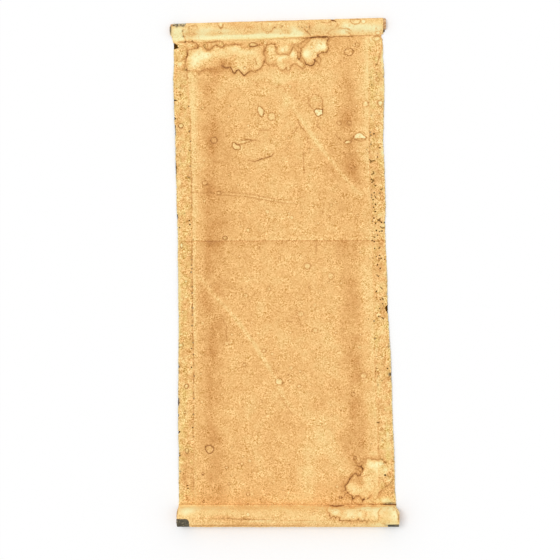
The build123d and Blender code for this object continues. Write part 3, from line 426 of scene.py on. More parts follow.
backMarks["brown"] = [
    (223, 65, 2.2, 3.6, 1.1), (232, 59, 8, 4, .4, 10), (231, 63.5, 4, 1.8, .5), (217, 62, 8, 2.6, .35),
    (245, 48.5, 5, 1.3, .35), (250.5, 47.6, 3, 1.2, .3), (244, 60, 8, 4, .25), (219, 71, 7, 4, .5),
    (249.5, 65.5, 3, 1.3, .4, 20), (208, 68, 6, 2, .3), (208, 43, 3.5, 1.6, .5, 30),
    (217.5, 41, 6, 1.2, .8, 8), (207, 49.5, 3, 2, .6, 30), (190, 41.6, 6, 1, .5), (237, 44.7, 4.5, 1.4, .5),
    (196, 45, 2.5, 2, .35), (187, 53, 1.3, 6, .2), (187.5, 64, 3, 4, .5), (259.5, 44.5, 4, 2, .45),
    (265.8, 53, 2.4, 3.8, .7), (263.8, 61.5, 2, 1.5, .7), (275, 61.3, 2.2, 2.8, .8),
    (283.5, 61.6, 2, 1.3, .5), (288.5, 61.8, 2, 1.4, .55), (272, 42.5, 3, 1.2, .3), (284, 41.5, 3, 3, .3),
    (289.5, 45, 1.8, 1.2, .5), (298.6, 52, 1.3, 6, .4), (299.5, 58, 2.5, 1.5, .4), (311, 62, 3, 2.3, .4),
    (304.5, 47, 2, 3, .3), (258, 50, 3, 2, .3), (307.5, 37.6, 2.5, 1, .7), (302.5, 68, 2, 1.3, .4),
    (235, 25.5, 30, 3.5, .3, 1), (312, 25, 12, 5, .2), (380, 483, 2.3, 5, 1.0), (362, 483.5, 3, 3, .45),
    (365.5, 469, 2, 3, .35), (372, 483.5, 1.3, 2.8, .4), (373, 493.5, 1.4, 2, .5),
    (353.7, 475.6, 4, 2.4, .45), (352, 479.5, 2.6, 2, .7), (347.5, 482, 1.5, 2.5, .4), (387, 490, 4, 4.5, .4),
    (368.8, 497.3, 1.4, 2, .7), (343, 484, 3, 8, .6), (343, 501, 6, 3, .35), (347.3, 496.8, 2.2, 2.2, .5),
    (359.5, 467.5, 3.4, 3.4, .6), (358, 459, 5, 4, .5), (352.5, 455, 6, 4, .2), (356, 500, 3, 2, .4),
    (366, 502, 3, 2, .4), (373, 458.5, 4, 1.4, .4), (392.7, 474, 1.6, 6, .6), (378, 448, .9, 4, .4),
    (342.3, 511.5, 1.4, 1.6, .8), (342.3, 514.3, .9, 1.6, .6), (366.6, 515.3, 1.1, 2, .9),
    (364.3, 516.3, 1.8, 4, .5), (352, 507.5, 4, 1.5, .6), (359, 518.4, 1.3, 1.2, .8), (352, 520.4, 9, 1, .4),
    (356, 519, 2.4, 1.6, .5), (387, 513, 1.5, 1, .4), (384, 523.8, 1.6, .9, .8), (368, 519.5, 1, 1, .6),
    (337, 505.5, 5, 1, .5), (386.5, 509, 1, 2.6, .4), (212, 95, 7, 22, .2), (212, 132, 7, 14, .4),
    (211, 165, 7, 20, .25), (209, 190, 9, 12, .4), (215, 221, 9, 14, .4), (209, 242, 9, 10, .45),
    (208, 275, 7, 18, .35), (207, 303, 7, 12, .4), (220, 325, 7, 9, .3), (209, 350, 8, 16, .4),
    (208, 385, 7, 20, .35), (210, 435, 9, 12, .4), (206, 470, 8, 14, .25), (209, 499, 18, 5, .4),
    (346, 60, 6, 20, .2), (347, 95, 6, 20, .25), (347, 118, 6, 9, .35), (354, 167, 8, 8, .6),
    (355, 180, 6, 8, .25), (343, 247, 5, 13, .45, -20), (349, 285, 7, 14, .4), (351, 310, 6, 14, .3),
    (354, 339, 7, 7, .5), (356, 360, 7, 8, .45), (352, 400, 8, 14, .4), (356, 430, 9, 16, .4),
    (356, 447, 10, 8, .3), (287, 438, 16, 20, .2), (318, 405, 8, 6, .3), (275, 140, 30, 30, .08),
    (230, 120, 16, 30, .1), (330, 145, 14, 20, .12), (250, 270, 40, 40, .08), (341, 437, 3.5, 26, .2, 29),
    (319, 104.5, 3, 2, .35), (208, 49.6, 2, 1.3, .7), (226.5, 62.5, 4.5, 3.5, .7, -15), (231, 64, 4, 2, .45),
    (265.5, 51, 2, 3, .5), (298.5, 54.5, 1.2, 4, .4), (309, 63.6, 4.5, 1.3, .7, 10),
    (205.5, 46, 1.2, 2.5, .6), (197.3, 44.5, 1, 2, .5), (193.5, 42, 3.5, .9, .6, 5),
    (211, 41.9, 4, .8, .5, -15), (236, 44.6, 5, 1, .6), (224, 165, 8, 10, .3), (228, 222, 8, 8, .4),
    (217, 249, 10, 7, .35), (205, 205, 8, 18, .25), (200, 232, 7, 4, .3), (330, 167, 9, 9, .4),
    (354, 258, 11, 5, .35), (371, 262, 4, 8, .3), (344, 318, 5, 9, .35), (181, 120, 4, 7, .3),
    (289, 148, 4, 14, .2), (338, 438, 6, 6, .35), (363, 440, 3, 8, .25), (343, 398, 5, 5, .25),
    (287, 420, 10, 8, .15), (183, 488, 4, 4, .25), (203, 125, 6, 6, .2), (204, 355, 8, 8, .2),
    (202, 300, 5, 16, .2), (200, 415, 6, 10, .2), (222, 325, 6, 10, .15), (179, 210, 4, 5, .6),
    (228, 160, 9, 26, .3), (225, 138, 8, 6, .15), (227, 194, 9, 10, .35), (230, 245, 14, 14, .2),
    (294, 118, 5, 11, .35), (302, 128, 6, 6, .25), (289, 145, 5, 10, .2), (319, 130, 5, 8, .25),
    (334, 150, 6, 8, .25), (331, 178, 8, 14, .2), (305, 182, 5, 6, .15), (197, 230, 7, 5, .15),
    (360, 178, 5, 12, .2), (366, 262, 9, 7, .35), (377, 248, 4, 8, .2), (202, 285, 6, 9, .25),
    (195, 270, 5, 8, .15), (224, 318, 6, 8, .2), (228, 338, 11, 9, .2), (248, 345, 8, 8, .15),
    (344, 328, 5, 12, .3), (190, 352, 5, 6, .2), (203, 362, 4, 6, .25), (200, 388, 5, 8, .2),
    (389, 372, 3, 9, .5), (178, 412, 4, 8, .25), (202, 440, 5, 9, .3), (283, 420, 17, 13, .2),
    (300, 440, 14, 14, .12), (364, 425, 4, 14, .35), (206, 492, 9, 8, .3), (184, 488, 5, 6, .25),
    (297, 75, 10, 3, .3), (314, 73, 6, 6, .25), (355, 50, 7, 8, .25), (341, 98, 5, 5, .25),
    (207, 108, 5, 6, .35), (183, 125, 6, 6, .25), (204, 127, 5, 5, .2), (250, 48, 6, 4, .25),
    (262, 55, 3, 3, .35), (188, 63, 4, 4, .2), (218, 62, 6, 3, .2), (230, 66, 5, 3, .2),
    (215, 74.5, 7, 4, .4), (340, 435, 7, 12, .2), (352, 338, 8, 6, .2), (230, 222, 7, 6, .2),
    (226, 365, 10, 6, .15), (341, 396, 5, 8, .15), (222, 160, 18, 30, .1), (240, 250, 12, 16, .25),
    (198, 150, 5, 40, .15), (202, 300, 5, 36, .15), (202, 400, 5, 24, .15), (331, 167, 8, 9, .25),
    (376, 262, 5, 18, .3), (232, 320, 12, 18, .15), (262, 345, 14, 7, .1), (330, 388, 10, 10, .2),
    (318, 405, 6, 4, .3), (296, 404, 5, 5, .3), (270, 450, 14, 12, .1), (204, 414, 4, 4, .35),
    (203, 438, 7, 7, .2),
    # on the head sleeve
    (232, 23, 8, 2, .25), (310, 22, 6, 3, .25), (304, 34, 4, 4, .2), (232.5, 24.3, 2.5, 1.2, .5),
    (247, 27, 4, 1.4, .5), (252.5, 27.4, 2.5, 1.3, .5), (240.5, 28.2, 2, 1.2, .4),
    (248, 33.5, 6, 1.5, .45, 3), (238, 35, 5, .9, .3), (286.5, 24.6, 3, 1.7, .45),
    (300.5, 26.8, 3.2, 1.2, .6), (306.5, 31.5, 1.5, 1.5, .5), (312, 24, 4, 3, .25), (288, 33.2, 5, 1.2, .4),
    (337.5, 25, 2, 2.2, .5), (317, 32.6, 2, .9, .5), (320, 30, 8, 4, .1), (265, 29, 4, 3, .2),
    # under the foot's lip, on the roller's outer side: partly stain, partly painted shade where that side
    # turns from the light
    (205, 522, 12, 2, .5), (222, 518, 16, 3, .8), (258, 517, 8, 3, .3), (232, 522.5, 14, 2, .55),
    (255, 523.6, 18, 1.2, .6), (222, 525.4, 34, .8, .8), (300, 525.3, 50, .8, .5), (290, 523, 30, .8, .3),
    (215, 516.5, 14, 2, .2), (246, 518, 8, 1.4, .4),
    # in the left border
    (181, 110, 4, 5, .4), (189, 100, 1, 6, .2), (186, 145, 4, 14, .2), (186, 200, 4, 26, .25),
    (180, 218, 2.5, 5, .25), (188, 245, 2.5, 10, .35), (187, 300, 3, 14, .25), (186.5, 333, 4, 16, .3),
    (187, 345, 4, 8, .2), (188, 370, 3, 8, .2), (188.5, 425, 3, 10, .25), (187, 466, 3.5, 18, .6),
    (187, 485, 4, 8, .5), (188, 497, 3, 6, .4), (182.5, 480, 1.5, 6, .3),
    # in the right border
    (374, 105, 2.5, 30, .15), (374, 165, 3, 30, .25), (380, 180, 3, 14, .2), (377, 60, 4, 8, .25),
    (380, 222, 3, 4, .35), (380, 245, 3, 9, .35), (380, 268, 4, 8, .55), (374.5, 276, 2.5, 6, .3),
    (381.7, 305.5, 2.3, 4.5, .8), (383, 315, 3, 4, .35), (383, 294, 2, 2, .4), (383.3, 342, 1.4, 2.6, .5),
    (386.5, 350, 1, 2, .6), (385, 377, 2.5, 4, .5), (384, 412, 2, 6, .5), (384.5, 425, 1.3, 7, .3),
    (380, 360, 4, 8, .2), (390, 470, 2, 4, .2), (391, 460, 2, 6, .2), (379.4, 411, 1, 1.6, .4),
]

backMarks["olive"] = [
    (184.5, 215, 1.5, 18, .6), (183.5, 245, 2, 14, .5), (184, 282, 1.8, 10, .5), (183.5, 400, 3, 14, .7),
    (183, 425, 2, 10, .6), (185, 370, 2.5, 6, .6), (180, 158, 1.2, 6, .5), (190, 158, 1.5, 10, .4),
    (181, 92, 3, 6, .3), (184, 330, 3, 20, .3), (179.5, 300, 1.2, 50, .7), (180.5, 445, 2, 10, .5),
    (376.5, 60, 1.5, 5, .7), (379, 78, 2, 6, .5), (381, 165, 2, 16, .5), (372, 90, 3, 20, .3),
    (387.5, 325, 1, 6, .7), (387, 428, 1.5, 6, .7), (388, 445, 1.5, 8, .7), (388, 458, 2, 6, .7),
    (372, 410, 4, 8, .3), (376, 340, 3, 5, .4), (388.5, 372, 1.5, 4, .6), (378, 325, 6, 8, .2),
    (178, 33, 6, 7, .15), (382, 522, 16, 3, .5), (245, 37.5, 20, 1, .4), (255, 39.2, 25, .8, .4, 2),
    (280, 37.5, 16, .7, .4, 2), (222, 44, 1.2, 1.5, .6), (205, 46, 1.5, 3, .5), (248.5, 45, 1, 1.5, .6),
    (383, 500, 8, 3, .3), (390, 513.5, 3, 1.6, .5), (179, 350, 1.4, 10, .4), (179, 480, 1.4, 14, .5),
]

backMarks["grey"] = [
    (176.6, 26.6, 1.3, 1.2, .9), (183, 26.3, 1.6, .8, .8), (179.5, 25.4, 3, .9, .5),
    (170.3, 29.5, 1, 5.5, 1.3), (178, 26, 7, .9, .35), (386.8, 525.2, 2.2, .9, .7), (176.8, 511, .8, 3, .8),
    # (390, 503.2) is painted shadow beside the unpasted right corner of the foot sleeve's edge
    (176.3, 518, .7, 5, .6), (390, 503.2, 5.5, .9, 1.1), (386.6, 275, .8, 5, .4), (386.7, 294, .7, 2.4, .7),
    (388.6, 346, .8, 2.4, .7), (386.6, 284, .6, 2.4, .5), (390, 366, .7, 2.4, .5),
    (389.7, 374.3, 1.4, 1.8, 1.3), (391, 379, .8, 2.4, .5), (383.4, 50, .6, 2, .5),
    (383.4, 67.8, .6, 1.2, .6), (383.5, 76, .6, 2.6, .6), (383.4, 104.5, .6, 3.6, .6),
    (383.6, 114, .6, 4, .4), (174.3, 104.5, .6, 1.6, .8), (175.4, 132.5, .7, 4, .9),
    (175.8, 148.4, .7, 1.2, .6), (176.5, 154.5, .5, 1.5, .4), (176.1, 169, .6, 6, .9),
    (176.8, 181, .6, 1.5, .4), (177.4, 217, .6, 2.6, 1.2), (177.3, 227.5, .6, 1.2, .5),
    (179, 343.2, .8, .8, .8), (179.2, 347.6, 1, .8, .8), (178.8, 364.3, .8, 1.8, .5),
    (179.3, 366.8, .6, 1, 1.2), (178.8, 373, .6, 2, .4), (178.9, 401.5, .7, 3.4, 1.1),
    (178.9, 419.5, .6, 1.8, .5), (179.7, 453.5, .6, 1.8, .7), (180.1, 471.5, .6, 1.4, .8),
    (179.1, 478, .6, 1.2, .6), (174, 66, .6, 1.6, .4), (173.6, 46, 1, 3, .4), (393.8, 459, .7, 2.4, .5),
    (394.6, 491, .8, 2.4, .6), (391.9, 438, 1, 2, .3), (398.8, 517, .7, 4, .7), (397.2, 511.5, .6, 2, .4),
]

# dark specks in the paper: for each size, the places
backMarks["specks"] = {
    .4: [(375.7, 209)],
    .5: [(180.4, 94.8), (185, 108.3), (176.5, 86), (189.9, 170.5), (184.6, 222.3), (179.4, 241.3),
     (193.6, 387), (193.3, 424), (181, 471.5), (374.8, 96.5), (373.5, 120.7), (378.5, 128), (376.5, 72.5),
     (376.5, 74.5), (377.5, 76.5), (369.5, 258.5), (380, 302.9), (383, 305), (380.5, 306), (389.5, 404.5),
     (382.6, 438.6), (377, 17.9), (321, 101.5), (320, 106), (388.4, 477)],
    .6: [(180.4, 151.3), (190, 174), (190, 197.5), (184.7, 213.3), (193.2, 239.5), (191.8, 257),
     (192.4, 298.5), (182.7, 343.4), (183.4, 345.2), (194, 365), (193.1, 379.4), (193.3, 383), (193.5, 393),
     (376.4, 93.8), (381.5, 99.3), (379.3, 114.6), (371.5, 189.5), (376, 216.8), (375.3, 234.3),
     (372.5, 236.6), (373, 264), (376.2, 297), (368.6, 319), (376.5, 368.5), (378, 385.6), (374.5, 17.7),
     (354.8, 167), (389.8, 435.8)],
    .7: [(180.2, 87.8), (182.5, 348), (369.3, 77.5), (371.3, 77.3), (376.5, 126), (371.4, 142.2),
     (369.8, 146.3), (377.4, 153.4), (372.5, 231.5), (372.5, 258), (382.2, 308.6), (378.2, 376.2),
     (384.6, 409.8), (275, 27.5), (282, 26), (302, 27.5), (306.5, 27), (307.3, 31.5), (339.6, 498),
     (371.6, 443.6)],
    .8: [(179.4, 165), (191.5, 205), (190, 235), (192.3, 321), (371.5, 115.5), (366.7, 149.8), (376.5, 356.3),
     (382, 357), (378.1, 384.3), (382, 380.7), (382.5, 440.6), (299, 26.5), (309.5, 27), (345.5, 50),
     (353, 50), (387, 476), (391.5, 492.6)],
    .9: [(193.5, 436.5), (381.4, 107.2), (381.8, 459.3), (385.4, 462.3), (383.4, 463.4), (367.8, 498.2),
     (383.5, 31)],
    1: [(192.3, 40.9), (371.7, 84.9), (372.8, 204)],
    1.2: [(185.3, 42.1), (183.2, 36.5), (182.5, 31)],
}

# insect holes along the joins and in the borders: x, y, size
backMarks["holes"] = [
    (188.9, 106.3, .8), (189.4, 131.2, .9), (190.5, 141.4, .7), (189.7, 150.6, .7), (190.2, 166.3, .8),
    (189.2, 220.5, 1), (190, 224.5, 1), (191.6, 259.5, .7), (191.5, 265.3, .7), (192, 268.8, .8),
    (191.3, 272.2, 1.4), (192.2, 286.8, .9), (192.1, 293, 1), (192.8, 308, 1.3), (192.6, 315, .8),
    (192.1, 325.6, 1.1), (193.1, 342.6, 1.1), (191.4, 348.5, .7), (193.5, 354.5, .7), (191.4, 367.4, .8),
    (194.3, 376, .8), (193.9, 398.4, 1), (193.5, 414.3, .9), (192.8, 427.5, .8), (179.5, 227.6, .7),
    (187.7, 485.5, .7), (188, 488.3, .6), (370.2, 132.4, 1.1), (373.9, 133.8, 1.1), (370.6, 135.6, 1.1),
    (370.9, 144.2, 1), (380, 147.8, 1), (377.5, 157, .8), (375.4, 185.5, .8), (374.2, 192.7, .8),
    (379.8, 193.2, .8), (371.5, 195, .8), (371.4, 197.5, .7), (373.1, 199.7, 1), (375.6, 204.3, .9),
    (373.4, 207.3, .8), (375.2, 211.5, 1.1), (373.8, 218.2, .8), (380, 219, .8), (378.2, 220.3, .9),
    (372.7, 221.3, .6), (381.3, 222.3, 1.2), (384.3, 222.7, .8), (375.7, 223.3, .9), (376.4, 230.5, 1.1),
    (382, 231, 1.2), (379.7, 231.5, .6), (377.4, 235.4, 1.1), (374.5, 237.3, .8), (372.2, 240.5, 1.2),
    (374.2, 241.5, .9), (374.7, 248.4, .7), (379.5, 255.4, .8), (376.5, 256.5, .5), (379, 258.4, .6),
    (381.2, 258.3, .8), (384.5, 259.4, .6), (377.5, 264.9, .9), (380.2, 268.5, .9), (378.5, 276.3, .7),
    (376.4, 291.4, 1), (380.4, 299.6, .7), (382.6, 303.6, .6), (379.7, 308.4, .6), (378.8, 316.5, .9),
    (374.1, 321, 1.2), (375, 338.5, 1.1), (387.6, 368.5, .9), (385.1, 475.1, 1.5),
]

# insect tracks, not eaten through: from x, y to x, y, and width
backMarks["tracks"] = [
    (369.5, 159.6, 371.3, 161.4, .8), (371.3, 161.4, 374.3, 160.4, .8), (371.2, 161.6, 370.4, 162.6, .8),
    (373.2, 171.7, 374.1, 173.3, .8), (374.1, 173.3, 371.5, 174.6, .7), (371, 179.2, 373.9, 180.6, .9),
    (373.9, 180.7, 371.8, 182.6, .7), (380.5, 189.8, 382.5, 188.8, .8), (374.5, 195.6, 376, 198, .5),
    (378.6, 219.6, 380.2, 221.2, .7), (380.3, 226.5, 382, 228, .6), (382, 228, 384.4, 227.4, .6),
    (379, 248.3, 379.9, 247.3, .9), (382, 297.6, 383.1, 299.6, .9), (380.7, 287.3, 382.2, 288.9, .7),
    (381.8, 317.4, 383.6, 318.7, .9), (187.4, 176.8, 190, 177.8, .6), (377.2, 422.5, 379, 422.5, .9),
    (376.8, 275, 378.3, 276.4, .5),
]

# a track shows as a hole this much smaller
backMarks["trackFade"] = 0.4

# worn places of the long edges: (y, depth) from head to foot
backMarks["wear"] = {
    -1: [
        [(43.2, 0), (43.7, 2.4), (45, 3.8), (46.5, 4.9), (48.4, 5.4), (49, 4.6), (49.2, 0)], [(99.6, 0),
         (99.9, 2.2), (100.3, 3.6), (101, 3.6), (101.2, 0)], [(117, 0), (118, 1), (119.4, 2.2), (120, 0)],
        [(125.2, 0), (125.8, 1.4), (127.4, 1.4), (128.3, .5), (135, .8), (136, 0)], [(147.4, 0), (148.4, .8),
         (149.3, 0)], [(163, 0), (164, .8), (174, .7), (176, 0)], [(185, 0), (187, .8), (189, 0)], [(206, 0),
         (207, .9), (208.5, 0)], [(213.6, 0), (215, 1.1), (218, 1.1), (219.4, 0)], [(226.6, 0), (227.5, .8),
         (228.6, 0)], [(315.8, 0), (316.2, 1), (317, 1), (317.4, 0)], [(363.5, 0), (365.4, .6), (366.2, 1.3),
         (367.4, 1.2), (368, 0)], [(397.8, 0), (398.4, 1), (402, 1.4), (405, .7), (406, 0)], [(413.6, 0),
         (414.4, 1.4), (416.2, 1.5), (416.8, 0)], [(430.7, 0), (430.9, 3.2), (431.8, 2.8), (433, 1.6),
         (434.2, 0)], [(454.8, 0), (455, 2.3), (455.7, 2.2), (456, 0)], [(470.6, 0), (471.6, .8), (472.6, 0)],
    ],
    1: [
        [(66.8, 0), (67.8, .6), (68.6, 0)], [(75, 0), (76.5, .6), (78, 0)], [(305.2, 0), (305.7, 2.3),
         (308, 2.6), (311, 1.9), (313.2, .3), (314, 0)], [(220.5, 0), (222, .7), (223.5, 0)], [(372, 0),
         (373.4, 1.2), (375.6, 1.3), (376.6, 0)], [(377.6, 0), (379, .8), (380.4, 0)], [(138, 0), (140, .5),
         (142, 0)], [(293, 0), (294, .5), (295.4, 0)], [(34, 3), (36, 2.4), (38, 2), (40, 1.2), (44, .5),
         (50, 0)],
    ],
}

# folds pressed up from the front: half width, height in mm, then the line
backMarks["folds"] = [
    (3.2, 0.60, [(293, 108, .4), (305, 125, 1), (318, 144, 1), (340, 172, 1), (360, 195, .5)]),
    (3.0, 0.60, [(198, 275, .6), (216, 297, 1), (235, 318, 1), (252, 341, 1), (268, 366, .8),
     (290, 408, .3)]),
    (1.6, 0.25, [(320, 415, .5), (335, 442, 1), (350, 468, .4)]),
    (0.9, 0.30, [(216, 193, .6), (248, 195.5, 1), (273, 200, 1), (300, 203.5, .4)]),
    (0.8, 0.25, [(254.5, 162.5, .6), (263, 159.5, 1), (272.7, 156, .6)]),
    (2.5, 0.20, [(293, 95, .5), (293, 115, 1), (294, 140, .3)]),
]

# how far a drawn line wanders, px
backMarks["jitter"] = 0.45


def segmentsOf(lines, closed=False):
    # rows of x0, y0, x1, y1, weight0, weight1
    rows = []
    for line in lines:
        ends = line[1:] + line[:1] if closed else line[1:]
        rows += [(a[0], a[1], b[0], b[1], a[2], b[2]) for a, b in zip(line, ends)]
    return np.array(rows, float)


def nearest(px, py, segments, step=4000):
    # distance in px to the nearest segment, and its weight there
    away, weight = np.empty(len(px)), np.empty(len(px))
    x0, y0, x1, y1, w0, w1 = segments.T
    dx, dy = x1 - x0, y1 - y0
    span = np.maximum(dx * dx + dy * dy, 1e-9)
    for start in range(0, len(px), step):
        x, y = px[start:start + step, None], py[start:start + step, None]
        t = np.clip(((x - x0) * dx + (y - y0) * dy) / span, 0, 1)
        d = np.hypot(x - x0 - t * dx, y - y0 - t * dy)
        pick = d.argmin(1)
        row = np.arange(len(pick))
        away[start:start + step] = d[row, pick]
        weight[start:start + step] = (w0 + (w1 - w0) * t)[row, pick]
    return away, weight


def inside(px, py, loop):
    loop = np.asarray(loop, float)
    x0, y0 = loop[:, 0], loop[:, 1]
    x1, y1 = np.roll(x0, -1), np.roll(y0, -1)
    result = np.zeros(len(px), bool)
    for a, b, c, d in zip(x0, y0, x1, y1):
        if b == d:
            continue
        crosses = (b > py) != (d > py)
        result ^= crosses & (px < (c - a) * (py - b) / (d - b) + a)
    return result


def softAreas(px, py, areas):
    total = np.zeros(len(px))
    for x, y, wide, high, strength, *tilt in areas:
        turn = math.radians(sum(tilt))
        dx, dy = px - x, py - y
        u = (dx * math.cos(turn) - dy * math.sin(turn)) / wide
        v = (dx * math.sin(turn) + dy * math.cos(turn)) / high
        total = total + strength * np.exp(-(u * u + v * v))
    return total


stainSegments = segmentsOf([outline for fill, outline in backMarks["stains"]], closed=True)
lineSegments = segmentsOf(backMarks["lines"])
seamSegments = segmentsOf(backMarks["seams"].values())
foldSegments = [(half, rise, segmentsOf([line])) for half, rise, line in backMarks["folds"]]
allFoldSegments = np.concatenate([rows for half, rise, rows in foldSegments])
blots = np.array(backMarks["blots"], float)
shapes = [(ring, filling, outline, segmentsOf([[(*p, 1) for p in outline]], closed=True))
          for ring, filling, outline in backMarks["shapes"]]
specks = [(x, y, size) for size, places in backMarks["specks"].items() for x, y in places]
fade = backMarks["trackFade"]
holeSegments = [(x, y, x, y, size, size) for x, y, size in backMarks["holes"]]
holeSegments += [(*ends, width - fade, width - fade) for *ends, width in backMarks["tracks"]]
holeSegments = np.array(holeSegments, float)


def jittered(px, py):
    reach = backMarks["jitter"]
    return px + reach * wander(px, py, 1.9, 3), py + reach * wander(px, py, 1.9, 4)


def blotDistance(px, py):
    # signed distance to the nearest blot's ring, px, with its ring and filling
    best, ring, filling = np.full(len(px), 99.0), np.zeros(len(px)), np.zeros(len(px))
    ragged = 0.7 * wander(px, py, 2.1, 8) + 0.45 * wander(px, py, 1.1, 9)
    for x, y, wide, high, ringPower, fillPower in blots:
        radius = math.sqrt(wide * high)
        d = radius * (np.hypot((px - x) / wide, (py - y) / high) - 1) + 0.22 * radius * ragged
        closer = np.abs(d) < np.abs(best)
        best[closer], ring[closer], filling[closer] = d[closer], ringPower, fillPower
    for ringPower, fillPower, outline, rows in shapes:
        d = nearest(px, py, rows)[0]
        d = np.where(inside(px, py, outline), -d, d) + 0.3 * ragged
        closer = np.abs(d) < np.abs(best)
        best[closer], ring[closer], filling[closer] = d[closer], ringPower, fillPower
    return best, ring, filling


def seamDistance(px, py):
    # distance to the nearer join in px, below zero between the two, and its darkness
    away, darkness = nearest(px, py, seamSegments)
    left, right = [np.interp(py, *np.array(backMarks["seams"][side])[:, [1, 0]].T) for side in (-1, 1)]
    return np.where((px > left) & (px < right), -away, away), darkness


def speckle(px, py):
    total = np.zeros(len(px))
    for x, y, size in specks:
        total = np.maximum(total, np.exp(-((px - x) ** 2 + (py - y) ** 2) / (0.5 * size + 0.2) ** 2))
    return total


def detailNear(px, py):
    # how close the nearest drawn detail is, mm: the mesh is finer there
    away = np.minimum(nearest(px, py, stainSegments)[0], nearest(px, py, lineSegments)[0])
    away = np.minimum(away, nearest(px, py, allFoldSegments)[0])
    away = np.minimum(away, np.abs(blotDistance(px, py)[0]))
    away = np.minimum(away, nearest(px, py, holeSegments)[0])
    for x, y, size in specks:
        away = np.minimum(away, np.hypot(px - x, py - y))
    return away * pixel


pathPace = 0.25  # mm between two points of a path


# Paths that a sheet follows round a rod, as sections in Y and Z
class Path:
    def __init__(self, points, anchor, outwards, blur=0.0):
        # anchor is an index of a point whose running place is its own y
        points = np.array(points, float)
        reach = np.concatenate([[0], np.cumsum(np.hypot(*np.diff(points, axis=0).T))])
        count = max(int(reach[-1] / pathPace), 8)
        self.v = np.linspace(0, reach[-1], count)
        self.y, self.z = np.interp(self.v, reach, points[:, 0]), np.interp(self.v, reach, points[:, 1])
        if blur:
            width = int(blur / pathPace)
            kernel = np.hanning(2 * width + 3)[1:-1]
            kernel /= kernel.sum()
            for name in ("y", "z"):
                line = getattr(self, name)
                first, last = 2 * line[0] - line[width:0:-1], 2 * line[-1] - line[-2:-width - 2:-1]
                setattr(self, name, np.convolve(np.concatenate([first, line, last]), kernel, "valid"))
        ty, tz = np.gradient(self.y), np.gradient(self.z)
        long = np.hypot(ty, tz)
        self.ny, self.nz = -outwards * tz / long, outwards * ty / long
        self.v += points[anchor, 0] - reach[anchor]

    def at(self, v, lift):
        ny, nz = np.interp(v, self.v, self.ny), np.interp(v, self.v, self.nz)
        long = np.hypot(ny, nz)
        return (np.interp(v, self.v, self.y) + lift * ny / long,
                np.interp(v, self.v, self.z) + lift * nz / long)


def arcOf(rod, radius, start, end):
    # 0 degrees points at the sheet, 90 up, 180 outwards
    centreY, centreZ, inwards = rod
    turn = np.radians(np.linspace(start, end, max(int(abs(end - start) / 2), 2)))
    return list(zip(centreY + inwards * radius * np.cos(turn), centreZ + radius * np.sin(turn)))


def touchAngle(rod, radius, slope):
    # where a straight rise from the back meets the rod
    rise, drop = radius + slope, backLevel - rod[1]
    return math.degrees(math.atan2(drop, rise) + math.acos(radius / math.hypot(rise, drop)))


roller = (rollerY, rollerZ, 1)
stave = (staveY, staveZ, -1)

# Sleeves: angles in degrees, the rest in mm
sleeves = {
    "footSlope": 1.5, "headSlope": 4.6,  # a sleeve leaves the back this far from its rod
    "flange": 3.0,
    "headSlant": 4.0,  # the head seam lies this much lower at its left end
    "rollerLip": -1.0, "staveLip": 25.0,  # the front layer stops short of, or past, the crown
    "rollerWrap": 30.0, "staveWrap": -6.0,
    "ramp": 5.0,
    # the ends narrow towards the sheet: px
    "footRight": [(395.2, 505.6), (396.3, 508), (397.8, 510), (399.6, 513)],
    "headRight": [(381.6, 34.5), (381.9, 32.4)],
    "headLeft": [(171.6, 36.6), (170, 34.2)],
    "mitre": 12.0,
    "seamInset": 2.5, "shoulder": 1.5,  # the head seam's right end, and the step above it
    "cutPace": 0.8, "cutRag": 0.22,  # the cut edge is drawn in short steps, each this far off the line
    "blur": 1.25,  # how softly it bends off the seam and over the lip
    "swell": 0.14, "waves": 0.22, "ripples": 0.10,  # how it stands off the rod
}

underRoller = arcOf(roller, rollerRadius, 90 + sleeves["rollerLip"], 270)
underStave = arcOf(stave, staveRadius, 180, 90 + sleeves["staveLip"])
frontPath = Path(underRoller + [(0.0, sheet["front"])] + underStave, anchor=len(underRoller), outwards=-1)

footSeamY = rollerY + rollerRadius + sleeves["footSlope"] + sleeves["flange"]
headRightY = staveY - staveRadius - sleeves["headSlope"] - sleeves["flange"]
headLeftY = headRightY - sleeves["headSlant"]


def sleevePoints(rod, radius, slope, seamY, lip, wrap):
    # from the pasted seam, up the slope, over the rod and down its outer side
    lipAngle = 90 + lip
    touch = touchAngle(rod, radius, slope)
    return ([(seamY, backLevel), (rod[0] + rod[2] * (radius + slope), backLevel)]
            + arcOf(rod, radius, touch, lipAngle - sleeves["ramp"])
            + arcOf(rod, radius + sheet["front"], lipAngle, 180 + wrap))


footPath = Path(sleevePoints(roller, rollerRadius, sleeves["footSlope"], footSeamY,
                             sleeves["rollerLip"], sleeves["rollerWrap"])[::-1],
                anchor=-1, outwards=1, blur=sleeves["blur"])
headPath = Path(sleevePoints(stave, staveRadius, sleeves["headSlope"], headLeftY,
                             sleeves["staveLip"], sleeves["staveWrap"]),
                anchor=0, outwards=1, blur=sleeves["blur"])


